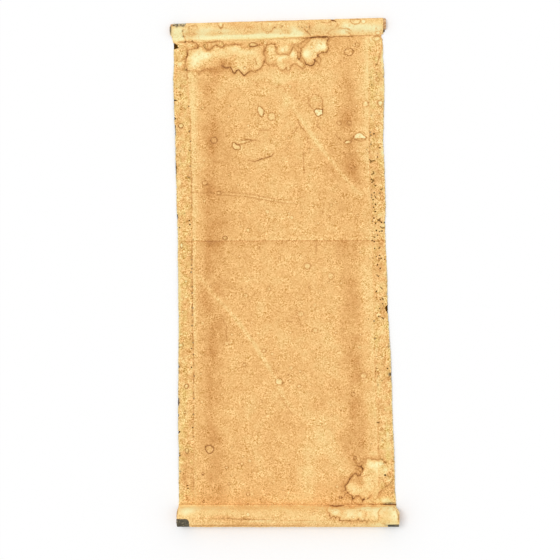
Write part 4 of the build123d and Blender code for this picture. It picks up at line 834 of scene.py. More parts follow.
# Meshes of paper and cloth: an outline with holes, filled with points that crowd round detail
def spread(outline, holes, wanted, coarse=3.2, levels=2, reach=1.1):
    low, high = outline.min(0), outline.max(0)
    xs = np.arange(low[0] + coarse / 2, high[0], coarse)
    ys = np.arange(low[1] + coarse / 2, high[1], coarse)
    cells = np.stack(np.meshgrid(xs, ys), -1).reshape(-1, 2)
    rims = np.concatenate([outline] + holes)
    tree = kdtree.KDTree(len(rims))
    for index, (x, y) in enumerate(rims):
        tree.insert((x, y, 0), index)
    tree.balance()
    size, leaves = coarse, []
    draw = np.random.default_rng(21)
    for level in range(levels + 1):
        rim = np.array([tree.find((x, y, 0))[2] for x, y in cells])
        split = np.minimum(wanted(cells), rim) < reach * size
        if level == levels:
            split[:] = False
        kept = cells[~split & (rim > 0.42 * size)]
        leaves.append(kept + draw.uniform(-0.18, 0.18, kept.shape) * size)
        quarter = size / 4
        cells = np.concatenate([cells[split] + (i * quarter, j * quarter)
                                for i in (-1, 1) for j in (-1, 1)])
        size /= 2
        if not len(cells):
            break
    points = np.concatenate(leaves)
    keep = inside(points[:, 0], points[:, 1], outline)
    for hole in holes:
        keep &= ~inside(points[:, 0], points[:, 1], hole)
    return points[keep]


def triangulate(outline, holes, points):
    corners, edges = [], []
    for loop in [outline] + holes:
        start, count = len(corners), len(loop)
        corners += [Vector(p) for p in loop]
        edges += [(start + i, start + (i + 1) % count) for i in range(count)]
    corners += [Vector(p) for p in points]
    found = delaunay_2d_cdt(corners, edges, [], 0, 1e-5, False)
    flat = np.array([tuple(v) for v in found[0]])
    faces = np.array(found[2])
    middle = flat[faces].mean(1)
    keep = inside(middle[:, 0], middle[:, 1], outline)
    for hole in holes:
        keep &= ~inside(middle[:, 0], middle[:, 1], hole)
    faces = faces[keep]
    used = np.unique(faces)
    renumber = np.full(len(flat), -1)
    renumber[used] = np.arange(len(used))
    flat, faces = flat[used], renumber[faces]
    a, b, c = flat[faces[:, 0]], flat[faces[:, 1]], flat[faces[:, 2]]
    turn = (b[:, 0] - a[:, 0]) * (c[:, 1] - a[:, 1]) - (b[:, 1] - a[:, 1]) * (c[:, 0] - a[:, 0])
    faces[turn < 0] = faces[turn < 0][:, ::-1]
    return flat, faces[np.abs(turn) > 1e-9]


def rimEdges(faces):
    directed = np.concatenate([faces[:, [0, 1]], faces[:, [1, 2]], faces[:, [2, 0]]])
    size = directed.max() + 1
    forward, backward = directed[:, 0] * size + directed[:, 1], directed[:, 1] * size + directed[:, 0]
    return directed[~np.isin(forward, backward)]


def placed(name, data):
    # a new object in the scene
    made = bpy.data.objects.new(name, data)
    bpy.context.scene.collection.objects.link(made)
    return made


def store(mesh, key, values):
    # a vector for each point of a mesh, for its finish to read
    layer = mesh.attributes.new(key, "FLOAT_VECTOR", "POINT")
    layer.data.foreach_set("vector", np.ascontiguousarray(values, np.float32).ravel())


def buildSheet(name, flat, faces, place, thickness, relief, marks, turned=False):
    # two skins joined by a rim; place(x, v, lift) gives a point of the sheet in space
    x, v = flat[:, 0], flat[:, 1]
    rise = np.clip(relief(x, v), 0, None) if relief else np.zeros(len(x))
    under = np.stack(place(x, v, rise), -1)
    over = np.stack(place(x, v, rise + thickness), -1)
    count = len(flat)
    rim = rimEdges(faces)
    overFaces, underFaces = faces, faces[:, ::-1] + count
    sides = np.stack([rim[:, 1], rim[:, 0], rim[:, 0] + count, rim[:, 1] + count], 1)
    if turned:
        overFaces, underFaces, sides = overFaces[:, ::-1], underFaces[:, ::-1], sides[:, ::-1]
    mesh = bpy.data.meshes.new(name)
    mesh.from_pydata((np.concatenate([over, under]) * mm).tolist(), [],
                     overFaces.tolist() + underFaces.tolist() + sides.tolist())
    mesh.update()
    store(mesh, "flat", np.stack([np.tile(x, 2), np.tile(v, 2), np.repeat([0.0, 1.0], count)], 1))
    if marks:
        for key, values in marks(*over.T).items():
            store(mesh, key, np.concatenate([values, values]))
    mesh.polygons.foreach_set("use_smooth", np.ones(len(mesh.polygons), bool))
    mesh.set_sharp_from_angle(angle=math.radians(50))
    print(f"{name}: {len(mesh.vertices)} vertices, {len(faces) * 2 + len(rim) * 2} triangles")
    return placed(name, mesh)


def backPlace(base):
    def place(x, y, lift):
        return x, y, base(x, y) + cockle(x, y) + lift
    return place


# Lap of the two backing sheets, mm
lap = {
    "slant": 3.5,  # its right end is this much lower
    "ramp": 2.0, "rag": 0.18,  # how softly it steps down, and how ragged its edge is
    "air": 0.03,
}
lowerLow, lowerHigh = boxOf("lower_backing_sheet")
upperLow, upperHigh = boxOf("upper_backing_sheet")
lapHigh = lowerHigh[1]  # the lower sheet ends here, under the lap


def lapLine(x):
    return upperLow[1] - lap["slant"] * x / (upperHigh[0] - upperLow[0])


# Relief of the back, mm: heights, and half widths of what runs along a line
backForm = {
    "paper": 0.08, "blot": 0.12, "seam": 0.25, "seamHalf": 1.1, "tideLine": 0.12, "tideHalf": 1.2,
    # a fold's paleness is a painted highlight on its ridge
    "foldHighlight": 0.38,  # how much paler a fold is than the paper beside it
}


def ridge(away, height, half):
    return height * np.exp(-(away / half) ** 2)


def backRelief(x, y):
    px, py = seenAt(x, y, backLevel)
    rise = backForm["paper"] + 0.05 * wander(x, y, 9, 31) + 0.03 * wander(x, y, 3.5, 32)
    seam = seamDistance(px, py)[0] * pixel
    rise += ridge(seam, backForm["seam"], backForm["seamHalf"]) * (0.8 + 0.3 * wander(x * 0, y, 9, 30))
    for half, height, rows in foldSegments:
        away, weight = nearest(px, py, rows)
        rise += ridge(away, height * weight, half)
    away, weight = nearest(*jittered(px, py), stainSegments)
    rise += ridge(away * pixel, backForm["tideLine"] * weight, backForm["tideHalf"])
    away, ring, filling = blotDistance(px, py)
    rise += backForm["blot"] * filling * smooth(0.6, -0.6, away * pixel)
    # flat where a sleeve is pasted over it
    return rise * smooth(footSeamY - 1, footSeamY + 2, y) * smooth(headLeftY + 1, headLeftY - 2, y)


def backMarksAt(x, y, z):
    px, py = seenAt(x, y, z)
    jx, jy = jittered(px, py)
    stainAway, stainWeight = nearest(jx, jy, stainSegments)
    fill = np.zeros(len(px))
    for share, outline in backMarks["stains"]:
        fill[inside(jx, jy, [p[:2] for p in outline])] = share
    signed = np.where(fill > 0, -stainAway, stainAway) * pixel
    lineAway, lineWeight = nearest(jx, jy, lineSegments)
    ringAway, ring, filling = blotDistance(px, py)
    seamAway, seamDark = seamDistance(jx, jy)
    holeAway, holeSize = nearest(px, py, holeSegments)
    # painted highlight along the ridge of each fold
    foldHighlight = np.zeros(len(px))
    for half, height, rows in foldSegments:
        away, weight = nearest(px, py, rows)
        foldHighlight += weight * height / 0.5 * np.exp(-(away / half / 0.8) ** 2)
    soft = {key: softAreas(px, py, backMarks[key]) for key in ("pale", "brown", "grey", "olive")}
    edgeAway = np.minimum(x - edgeX(-1, y), edgeX(1, y) - x)
    return {
        "stain": np.stack([signed, stainWeight, fill], 1),
        "areas": np.stack([soft["pale"] + backForm["foldHighlight"] * foldHighlight, soft["brown"], soft["grey"]], 1),
        "line": np.stack([lineAway * pixel, lineWeight, soft["olive"]], 1),
        "blot": np.stack([ringAway * pixel, ring, filling], 1),
        "worn": np.stack([holeAway * pixel - 0.5 * holeSize, edgeAway, speckle(px, py)], 1),
        "seam": np.stack([seamAway * pixel, seamDark, y - lapLine(x)], 1),
    }


def wornEdge(side, ys, fray, seed, wear, inset=0.0):
    # one long edge of a sheet, read from foot to head, with its worn places
    def along(size, step):
        return wander(ys * 0, ys, size, seed + step)

    x = edgeX(side, ys)
    inset = inset + fray * (0.5 + 0.5 * along(2.6, 0)) + 0.5 * fray * along(0.9, 1)
    inset += 0.7 * fray * smooth(-0.1, 0.8, along(16, 2))
    py = seenAt(x, ys, backLevel)[1]
    for line in wear:
        places, depths = np.array(line).T
        inset += np.interp(py, places, depths, left=0, right=0) * pixel * (0.85 + 0.3 * along(1.1, 3))
    return np.stack([x - side * inset, ys], 1)


holeForm = {"radius": 0.78, "half": 0.15}  # mm: radius for a size of 1, and half its straight part


def eatenHole(x, y, size, seed, count=5):
    # a short upright slot with a ragged rim
    draw = np.random.default_rng(seed)
    loop = []
    for end, start in ((y + holeForm["half"], 0.0), (y - holeForm["half"], math.pi)):
        for step in range(count):
            turn = start + math.pi * (step + 0.5) / count
            radius = holeForm["radius"] * size * draw.uniform(0.8, 1.2)
            loop.append((x + radius * math.cos(turn), end + radius * math.sin(turn)))
    return np.array(loop)


def holesBetween(low, high):
    loops = []
    for seed, (px, py, size) in enumerate(backMarks["holes"]):
        x, y = onBack(px, py)
        if low < y < high:
            loops.append(eatenHole(x, y, size, seed))
    return loops


def backWanted(cells):
    px, py = seenAt(*cells.T, backLevel)
    away = detailNear(px, py)
    return np.minimum(away, np.abs(seamDistance(px, py)[0]) * pixel - 0.6)


def backingSides(low, high, seed):
    # both long edges: the left one upwards, the right one downwards
    ys = np.arange(low, high, sheet["edgeStep"])
    left, right = [wornEdge(side, ys, sheet["fray"], seed + turn, backMarks["wear"][side])
                   for side, turn in ((-1, 0), (1, 4))]
    return left, right[::-1]


def backingSheet(name, outline, holes, base):
    flat, faces = triangulate(outline, holes, spread(outline, holes, backWanted))
    thickness = sheet["backing"] - lap["air"]
    return buildSheet(name, flat, faces, backPlace(base), thickness, backRelief, backMarksAt)


sheets = {}

# Lower backing sheet: from under the foot sleeve to under the lap
left, right = backingSides(lowerLow[1], lapHigh, 40)
outline = np.concatenate([left, right])[::-1]
holes = holesBetween(footSeamY + 2, lapLine(0) - 3)
sheets["lower"] = backingSheet("lowerBacking", outline, holes,
                               lambda x, y: sheet["front"] + sheet["gap"] + 0 * x)

# Upper backing sheet: lapped over the lower one, then up to the stave
left, right = backingSides(upperLow[1], upperHigh[1], 50)
left[0, 1], right[-1, 1] = lapLine(left[0, 0]), lapLine(right[-1, 0])
xs = np.arange(left[0, 0] + sheet["edgeStep"], right[-1, 0], sheet["edgeStep"])
lapEdge = np.stack([xs, lapLine(xs) + lap["rag"] * wander(xs, xs * 0, 2.2, 58)], 1)
outline = np.concatenate([left, right, lapEdge[::-1]])[::-1]
holes = holesBetween(lapLine(0) + 3, headLeftY - 2)


def upperBase(x, y):
    onLower = smooth(lapHigh + lap["ramp"] + 1.5, lapHigh - 0.5, y)
    return sheet["front"] + sheet["gap"] + sheet["backing"] * onLower


sheets["upper"] = backingSheet("upperBacking", outline, holes, upperBase)


# Front layer: picture panel and two cloth borders, rolled up round both rods
frontLow, frontHigh = frontPath.v[0], frontPath.v[-1]
flatRun = (rollerY, staveY + staveRadius)  # the part of the path that lies flat


def frontPlace(x, v, lift):
    y, z = frontPath.at(v, lift)
    return x, y, z + cockle(x, y)


def frontWanted(cells):
    # fine where it turns up round a rod, coarse where it lies flat
    past = np.minimum(cells[:, 1] - flatRun[0], flatRun[1] - cells[:, 1])
    return np.where(past < 1, 0.0, 99.0)


def stripOutline(leftLine, rightLine, pace):
    # up the left side and down the right, for runs of v
    vs = np.linspace(frontLow, frontHigh, int((frontHigh - frontLow) / pace))
    ys = frontPath.at(vs, 0.0)[0]
    left = np.stack([leftLine(ys), vs], 1)
    right = np.stack([rightLine(ys), vs], 1)[::-1]
    xs = np.arange(left[-1, 0] + pace, right[0, 0], pace)
    tip = np.stack([xs, np.full(len(xs), frontHigh)], 1)
    foot = np.stack([xs[::-1], np.full(len(xs), frontLow)], 1)
    return np.concatenate([left, tip, right, foot])[::-1]


clothEdge = {
    "fray": 0.3, "inset": 0.4,  # mm
    "seeds": {-1: 60, 1: 64},
    # at the head the right one is worn with the backing, and lower down a bit sticks out, px
    "torn": {-1: [], 1: [backMarks["wear"][1][-1], [(29.8, 0), (30.3, -2.6), (31.6, -2.4), (32.4, 0)]]},
}


def clothSide(side, ys):
    return wornEdge(side, ys, clothEdge["fray"], clothEdge["seeds"][side], clothEdge["torn"][side],
                    clothEdge["inset"])[:, 0]


# both side lines of each strip, then how finely its rim and its middle are cut
frontStrips = {
    "frontPanel": (lambda y: joinX(-1, y), lambda y: joinX(1, y), 4.0, 5.0),
    "leftBorderCloth": (lambda y: clothSide(-1, y), lambda y: joinX(-1, y) - sheet["gap"], 0.9, 2.0),
    "rightBorderCloth": (lambda y: joinX(1, y) + sheet["gap"], lambda y: clothSide(1, y), 0.9, 2.0),
}
for name, (leftLine, rightLine, pace, coarse) in frontStrips.items():
    outline = stripOutline(leftLine, rightLine, pace)
    points = spread(outline, [], frontWanted, coarse=coarse, levels=1 if coarse < 3 else 2)
    flat, faces = triangulate(outline, [], points)
    sheets[name] = buildSheet(name, flat, faces, frontPlace, sheet["front"], None, None, turned=True)


# Sleeves: paper strips pasted on the back and drawn over each rod
footLow, footHigh = boxOf("bottom_sleeve")
headLow, headHigh = boxOf("top_sleeve")
losses = {
    "footLeft": (17.5, 13.3, 6.0),  # length along the rod, depth and rounding of a lost corner
    "footRight": (15.6, 5.4, 2.0),
    "headLeft": (23.0, 5.8, 2.5),
    "chip": (78.5, 8.6, 2.6),  # place right of the stave's middle, length, depth
}


def ragged(points, pace, amount, seed):
    # a closed line cut into short steps, each pushed a little sideways
    points = np.array(points, float)
    result = []
    for a, b in zip(points, np.roll(points, -1, 0)):
        count = max(int(np.hypot(*(b - a)) / pace), 1)
        t = np.linspace(0, 1, count, endpoint=False)[:, None]
        result.append(a + (b - a) * t)
    line = np.concatenate(result)
    x, v = line.T
    across, along = [amount * (0.6 * wander(x, v, 2.4, seed + i) + 0.4 * wander(x, v, 0.9, seed + i + 1))
                     for i in (0, 2)]
    return np.stack([x + across, v + along], 1)


def rounded(corner, before, after, radius, count=5):
    # a worn inner corner: a short arc between two directions
    corner, before, after = [np.array(p, float) for p in (corner, before, after)]
    start = corner + radius * (before - corner) / np.hypot(*(before - corner))
    end = corner + radius * (after - corner) / np.hypot(*(after - corner))
    t = np.linspace(0, 1, count)[:, None]
    return list(map(tuple, (1 - t) ** 2 * start + 2 * t * (1 - t) * corner + t ** 2 * end))


def firstReach(path, y, fromSeam):
    # running place where a path, followed from its seam, first passes y
    order = np.arange(len(path.v))[::fromSeam]
    hit = np.argmax((path.y[order] - y) * fromSeam > 0)
    return path.v[order][hit]


def onSleeve(path, px, py, fromSeam):
    # where the sight line of a point of the photograph meets a sleeve, followed from its seam
    x, y = onBack(px, py)
    nearer = (eye[2] - path.z) / (eye[2] - backLevel)
    past = (path.y - eye[1] - (y - eye[1]) * nearer) * fromSeam > 0
    order = np.arange(len(path.v))[::fromSeam]
    hit = order[np.argmax(past[order])]
    return eye[0] + (x - eye[0]) * nearer[hit], path.v[hit]


def footOutline():
    low, high, left, right = footPath.v[0], footSeamY, footLow[0], footHigh[0]
    shoulder = high - sleeves["mitre"]
    (longL, deepL, roundL), (longR, deepR, roundR) = losses["footLeft"], losses["footRight"]
    cutL, cutR = [firstReach(footPath, footLow[1] + deep, -1) for deep in (deepL, deepR)]
    points = [(left, shoulder), (left, cutL)]
    points += rounded((left + longL, cutL), (left, cutL), (left + longL, low), roundL)
    points += [(left + longL, low), (right - longR, low)]
    points += rounded((right - longR, cutR), (right - longR, low), (right, cutR), roundR)
    points += [(right, cutR)] + [onSleeve(footPath, *p, -1) for p in sleeves["footRight"][::-1]]
    points += [(edgeX(1, high), high), (edgeX(-1, high), high)]
    return ragged(points, sleeves["cutPace"], sleeves["cutRag"], 70)


def headOutline():
    high, left, right = headPath.v[-1], headLow[0], headHigh[0]
    longL, deepL, roundL = losses["headLeft"]
    cut = firstReach(headPath, headHigh[1] - deepL, 1)
    middle = (staveLow[0] + staveHigh[0]) / 2 + losses["chip"][0]
    half, deep = losses["chip"][1] / 2, high - firstReach(headPath, headHigh[1] - losses["chip"][2], 1)
    points = [(edgeX(-1, headLeftY), headLeftY), (edgeX(1, headRightY) - sleeves["seamInset"], headRightY)]
    points += [onSleeve(headPath, *p, 1) for p in sleeves["headRight"]]
    points += [(right, points[-1][1] + sleeves["shoulder"]), (right, high)]
    points += [(middle + half * math.cos(t), high - deep * math.sin(t)) for t in np.linspace(0, math.pi, 13)]
    points += [(left + longL, high)]
    points += rounded((left + longL, cut), (left + longL, high), (left, cut), roundL)
    points += [(left, cut)] + [onSleeve(headPath, *p, 1) for p in sleeves["headLeft"][::-1]]
    return ragged(points, sleeves["cutPace"], sleeves["cutRag"], 80)


def sleevePlace(path):
    def place(x, v, lift):
        y, z = path.at(v, lift + sheet["gap"])
        return x, y, z
    return place


def sleeveRelief(seam, seed):
    def relief(x, v):
        free = smooth(1.5, 7, np.abs(v - seam))
        waves = (sleeves["waves"] * wander(x, v * 0.35, 15, seed)
                 + sleeves["ripples"] * wander(x, v, 6, seed + 1))
        return 0.03 + free * np.clip(sleeves["swell"] + waves, 0, None) + 0.02 * wander(x, v, 2.5, seed + 2)
    return relief


def sleeveWanted(path):
    def wanted(cells):
        y, z = path.at(cells[:, 1], 0.3)
        px, py = seenAt(cells[:, 0], y, z)
        # finer over the crown of the rod
        return np.minimum(detailNear(px, py), np.where(z > 6, 1.6, 6.4))
    return wanted


for name, path, outline, seam, seed in (("bottomSleeve", footPath, footOutline(), footSeamY, 90),
                                        ("topSleeve", headPath, headOutline(), headLeftY, 95)):
    flat, faces = triangulate(outline, [], spread(outline, [], sleeveWanted(path), coarse=2.4, levels=2))
    sheets[name] = buildSheet(name, flat, faces, sleevePlace(path), sheet["sleeve"] - sheet["gap"],
                              sleeveRelief(seam, seed), backMarksAt)
print("sheets cut and rolled")


# Finishes
def colour(r, g, b):
    # a screen colour, 0 to 255, as the shader wants it
    linear = [(c / 255 / 12.92) if c <= 10 else ((c / 255 + 0.055) / 1.055) ** 2.4 for c in (r, g, b)]
    return (*linear, 1.0)


class Wire:
    # an output socket; arithmetic on it adds Math nodes
    def __init__(self, graph, socket):
        self.graph, self.socket = graph, socket

    def __add__(self, other):
        return self.graph.math("ADD", self, other)

    def __sub__(self, other):
        return self.graph.math("SUBTRACT", self, other)

    def __rsub__(self, other):
        return self.graph.math("SUBTRACT", other, self)

    def __mul__(self, other):
        return self.graph.math("MULTIPLY", self, other)

    __radd__, __rmul__ = __add__, __mul__

    def __abs__(self):
        return self.graph.math("ABSOLUTE", self)


class Graph:
    # a node tree, built up node by node
    def __init__(self, tree):
        self.tree = tree
        tree.nodes.clear()

    def add(self, kind, settings=None, sockets=None, output=0):
        node = self.tree.nodes.new(kind)
        for key, value in (settings or {}).items():
            if key == "stops":
                ramp = node.color_ramp
                while len(ramp.elements) < len(value):
                    ramp.elements.new(1.0)
                for element, (place, shade) in zip(ramp.elements, value):
                    element.position, element.color = place, shade
            else:
                setattr(node, key, value)
        for key, value in (sockets or {}).items():
            if isinstance(value, Wire):
                self.tree.links.new(value.socket, node.inputs[key])
            else:
                node.inputs[key].default_value = value
        return Wire(self, node.outputs[output]) if node.outputs else node

    def math(self, operation, *values):
        return self.add("ShaderNodeMath", {"operation": operation}, dict(enumerate(values)))

    def vector(self, operation, *values):
        return self.add("ShaderNodeVectorMath", {"operation": operation}, dict(enumerate(values)))


class Finish(Graph):
    # a material, or the world
    def __init__(self, name, owner=None):
        self.owner = owner or bpy.data.materials.new(name)
        self.owner.use_nodes = True
        super().__init__(self.owner.node_tree)

    def parts(self, vector):
        first = self.add("ShaderNodeSeparateXYZ", sockets={0: vector})
        return [Wire(self, socket) for socket in first.socket.node.outputs]

    def read(self, name):
        return self.add("ShaderNodeAttribute", {"attribute_name": name}, output="Vector")

    def noise(self, place, size, detail=2.0, seed=0, stretch=(1, 1, 1)):
        # soft noise about 0.5, with hills about size mm across
        spot = self.vector("MULTIPLY_ADD", place, tuple(k / size for k in stretch),
                           (seed * 7.3, seed * 3.1, seed * 5.7))
        return self.add("ShaderNodeTexNoise", sockets={"Vector": spot, "Scale": 1.0, "Detail": detail})

    def smooth(self, value, low, high):
        return self.add("ShaderNodeMapRange", {"interpolation_type": "SMOOTHSTEP"},
                        {"Value": value, "From Min": low, "From Max": high})

    def mix(self, factor, first, second):
        return self.add("ShaderNodeMix", {"data_type": "RGBA"}, {0: factor, 6: first, 7: second}, output=2)

    def ramp(self, stops, value):
        return self.add("ShaderNodeValToRGB", {"stops": stops}, {"Fac": self.limit(value)})

    def limit(self, value, low=0.0, high=1.0):
        return self.add("ShaderNodeClamp", sockets={"Value": value, "Min": low, "Max": high})

    def spots(self, place, size, low, high, share, seed):
        # scattered round blots: signed distance to the rim in mm, and which of them show
        spot = self.vector("MULTIPLY_ADD", place, (1 / size, 1 / size, 0.7),
                           (seed * 3.7, seed * 9.1, seed * 2.3))
        cell = self.add("ShaderNodeTexVoronoi", {"voronoi_dimensions": "2D"},
                        {"Vector": spot, "Scale": 1.0, "Randomness": 1.0})
        draw = self.parts(Wire(self, cell.socket.node.outputs["Color"]))
        shown = self.smooth(draw[0], share + 0.02, share - 0.02)
        return cell * size - (low + draw[1] * (high - low)), shown * (0.4 + 0.6 * draw[2])

    def brighter(self, amount, tint):
        # a factor for each of red, green and blue, about 1
        factor = self.vector("MULTIPLY_ADD", amount, tint, (1, 1, 1))
        return self.vector("MAXIMUM", factor, (0.08, 0.06, 0.03))

    def done(self, base, roughness, height, level=0.08):
        bump = self.add("ShaderNodeBump", sockets={"Strength": 1.0, "Distance": mm, "Height": height})
        surface = self.add("ShaderNodeBsdfPrincipled", sockets={
            "Base Color": base, "Roughness": roughness, "Normal": bump, "Specular IOR Level": level})
        self.add("ShaderNodeOutputMaterial", sockets={"Surface": surface})
        return self.owner


bothFaces = (1.0, 1.0, 60.0)  # the pattern of a sheet's under face is its own

# Aged paper: a scale of tones from dark brown to cream, moved up and down by the marks
paper = {
    "tones": [(0.0, colour(164, 104, 58)), (0.25, colour(217, 158, 93)), (0.5, colour(241, 189, 121)),
              (0.75, colour(251, 215, 147)), (1.0, colour(254, 245, 188))],
    "backing": {"tone": 0.52, "grain": 1.0, "border": 1.0, "blotch": 0.26},
    "sleeve": {"tone": 0.65, "grain": 0.8, "border": 0.0, "blotch": 0.34},
    "lineShade": colour(98, 58, 18),
    "thinShade": colour(118, 84, 38),
    "holeShade": colour(112, 72, 8),
    "edgeShade": colour(226, 208, 146),
    "greyShade": colour(128, 114, 88),
    "speckShade": colour(112, 74, 26),
    "oliveShade": colour(231, 200, 120),
    # how much a step of grain changes red, green and blue, as light
    "grainTint": (2.3, 3.0, 4.6),
    # how much each kind of mark darkens
    "ring": 0.92, "scattered": 0.36, "curl": 0.34, "worm": 0.14, "borderWorm": 0.22, "dirt": 0.80,
    # a thin dark core, its reach in mm, a soft halo and its reach
    "tideLine": (0.58, 1.35, 0.25, 4.2),
    "drawnLine": (0.60, 1.3, 0.22, 3.6),
    # how much a filling or pale area lightens and a brown one darkens
    "filling": 0.44, "scatteredFilling": 0.20, "pale": 0.40, "brown": 0.24,
}


def paperFinish(name, look):
    f = Finish(name)
    place = f.vector("MULTIPLY", f.read("flat"), bothFaces)
    stainAway, stainWeight, fill = f.parts(f.read("stain"))
    pale, brown, grey = f.parts(f.read("areas"))
    lineAway, lineWeight, olive = f.parts(f.read("line"))
    ringAway, ringWeight, filling = f.parts(f.read("blot"))
    holeAway, edgeAway, speck = f.parts(f.read("worn"))
    seamAway, seamDark, lapAway = f.parts(f.read("seam"))

    grit = f.noise(place, 1.8, 1.0, 1) - 0.5
    grain = f.noise(place, 3.8, 1.0, 2) - 0.5
    mottle = f.noise(place, 8.0, 1.0, 3) - 0.5
    cloud = f.noise(place, 17.0, 2.0, 4) - 0.5
    drift = f.noise(place, 80.0, 2.0, 5) - 0.5
    border = f.smooth(seamAway, -0.5, 2.0) * look["border"]

    # grain is grey: it lightens and darkens all colours alike, more in some places
    uneven = 0.58 + 0.80 * f.smooth(f.noise(place, 15.0, 2.0, 17), 0.34, 0.68)
    grainy = look["grain"] * uneven * ((0.53 + 0.14 * border) * grit + (0.04 + 0.05 * border) * grain
                                       + (0.02 + 0.02 * border) * mottle)

    # darker bands run down inside both borders
    band = f.smooth(seamAway, -56.0, -30.0) * f.smooth(seamAway, -12.0, -26.0) * look["border"]
    patch = f.noise(place, 34.0, 2.0, 6, stretch=(1.0, 0.6, 1.0))
    tone = look["tone"] + look["blotch"] * cloud + 0.25 * drift - band * f.smooth(patch, 0.3, 0.7) * 0.20
    tone = tone + paper["pale"] * pale - paper["brown"] * brown
    # painted highlight on the lap's lip and painted shadow under its edge, and a painted highlight just
    # inside the joins, where their ridge catches the light
    lapPaintedHighlight = f.smooth(lapAway, 9.0, 1.0) * 0.05 * f.smooth(lapAway, -0.4, 0.2)
    lapPaintedShadow = 0.09 * f.smooth(lapAway, -12.0, 0.0) + 0.06 * f.smooth(lapAway, -2.6, -0.6)
    tone += look["border"] * (lapPaintedHighlight - lapPaintedShadow * f.smooth(lapAway, 0.6, 0.0))
    tone += 0.07 * look["border"] * f.smooth(seamAway, -7.0, -2.0) * f.smooth(seamAway, -0.4, -1.6)
    # borders are blotchy: pale and brown patches, yellow between them
    blotchy = f.noise(place, 9.0, 2.0, 13) - 0.5
    tone += border * (0.03 + 0.66 * blotchy)

    # stains: pale within the tide line, browned outside it
    wiggle = (f.noise(place, 1.6, 2.0, 7) - 0.5) * 1.2
    stain = stainAway + wiggle
    within = f.smooth(stain, 0.4, -1.6)
    veil = f.noise(place, 11.0, 2.0, 8)
    glow = f.smooth(stain, 8.0, 0.5) * (1 - within) * (0.4 + 1.2 * f.smooth(veil, 0.35, 0.65))
    rimTan = within * f.smooth(stain, -5.0, -1.0)
    tone += within * (0.02 + 0.20 * fill + 0.45 * (veil - 0.5)) - 0.10 * glow - 0.07 * rimTan

    # ringed blots: those drawn, then three sizes scattered at random
    rim = f.noise(place, 1.7, 1.0, 9) - 0.5
    off = ringAway + 1.2 * rim
    tone += paper["filling"] * filling * f.smooth(off, 0.3, -1.4)
    ink = paper["ring"] * ringWeight * f.smooth(abs(off), 1.5, 0.1)
    for size, least, most, share, seed in ((31.0, 1.6, 3.4, 0.20, 1), (14.0, 0.9, 1.9, 0.26, 2),
                                           (6.5, 0.4, 1.0, 0.28, 3)):
        away, shown = f.spots(place, size, least, most, share, seed)
        off = away + 1.8 * rim
        tone += paper["scatteredFilling"] * shown * f.smooth(off, 0.4, -1.0)
        ink += paper["scattered"] * shown * f.smooth(abs(off), 1.0, 0.1)

    # fine wandering lines in patches, more of them in the borders
    curl = abs(f.noise(place, 11.0, 2.0, 10) - 0.52)
    curlPatch = f.smooth(f.noise(place, 40.0, 1.0, 11), 0.5, 0.62)
    ink += paper["curl"] * f.smooth(curl, 0.016, 0.0) * curlPatch
    worm = abs(f.noise(place, 6.0, 1.0, 14) - 0.5)
    wormPatch = f.smooth(f.noise(place, 15.0, 1.0, 15), 0.45, 0.6)
    ink += (paper["worm"] + paper["borderWorm"] * border) * f.smooth(worm, 0.03, 0.0) * wormPatch

    # tide lines and drawn lines
    for away, weight, kind in ((stain, stainWeight, "tideLine"),
                               (lineAway + 0.6 * wiggle, lineWeight, "drawnLine")):
        core, coreReach, halo, haloReach = paper[kind]
        off = abs(away)
        ink += weight * (core * f.smooth(off, coreReach, 0.1) + halo * f.smooth(off, haloReach, 0.2))

    # dirt along the joins, a worn outer edge, grey and yellow places
    dirt = f.noise(place, 4.0, 2.0, 12, stretch=(1.0, 0.6, 1.0))
    ink += paper["dirt"] * seamDark * f.smooth(abs(seamAway), 1.8, 0.2) * f.smooth(dirt, 0.30, 0.60)
    # painted shade on the border side of each join's ridge
    ink += 0.08 * border * f.smooth(seamAway, 5.0, 1.0)
    dark = 0.24 * f.smooth(ink, 0.5, 0.95) + 0.55 * f.smooth(ink, 0.95, 1.5)
    thin = 0.13 * f.smooth(ink, 0.04, 0.42)
    edge = f.smooth(edgeAway, 2.6, 0.6) * look["border"] * (0.45 + 0.55 * f.smooth(dirt, 0.3, 0.7))
    yellowPatch = f.smooth(f.noise(place, 13.0, 2.0, 16), 0.48, 0.62)
    yellow = f.limit(olive * 0.7 + 0.28 * border * yellowPatch)

    base = f.ramp(paper["tones"], f.limit(tone) * (1 - f.limit(0.90 * ink, 0.0, 0.95)))
    for factor, shade in ((thin, "thin"), (yellow, "olive"), (0.8 * edge, "edge"), (f.limit(dark), "line"),
                          (f.limit(grey * (0.5 + 0.8 * dirt)), "grey"), (0.85 * speck, "speck"),
                          (f.smooth(holeAway, 1.3, 0.1) * 0.85, "hole")):
        base = f.mix(factor, base, paper[shade + "Shade"])
    calm = 1 - 0.72 * f.smooth(tone, 0.60, 0.86)  # pale places are smoother
    base = f.vector("MULTIPLY", base, f.brighter(grainy * calm, paper["grainTint"]))

    height = 0.07 * grit + 0.09 * grain + 0.12 * mottle - 0.04 * dark
    return f.done(base, 0.88, height)


backingPaper = paperFinish("agedBackingPaper", paper["backing"])
sleevePaper = paperFinish("agedSleevePaper", paper["sleeve"])

# Woven cloth of the borders: grey outside; the inner face, seen only down holes and notches, is browned by
# paste and darkened further as painted shade
cloth = {
    "thread": 0.55,  # mm
    "shades": [(0.0, colour(58, 54, 46)), (0.45, colour(88, 83, 70)), (0.75, colour(118, 110, 91)),
               (1.0, colour(150, 140, 114))],
    # inner face: paste stain with painted shade, darker than the stain alone
    "pasted": [(0.0, colour(48, 28, 2)), (0.5, colour(80, 50, 6)), (1.0, colour(112, 76, 22))],
    "leftover": colour(226, 204, 158),
}


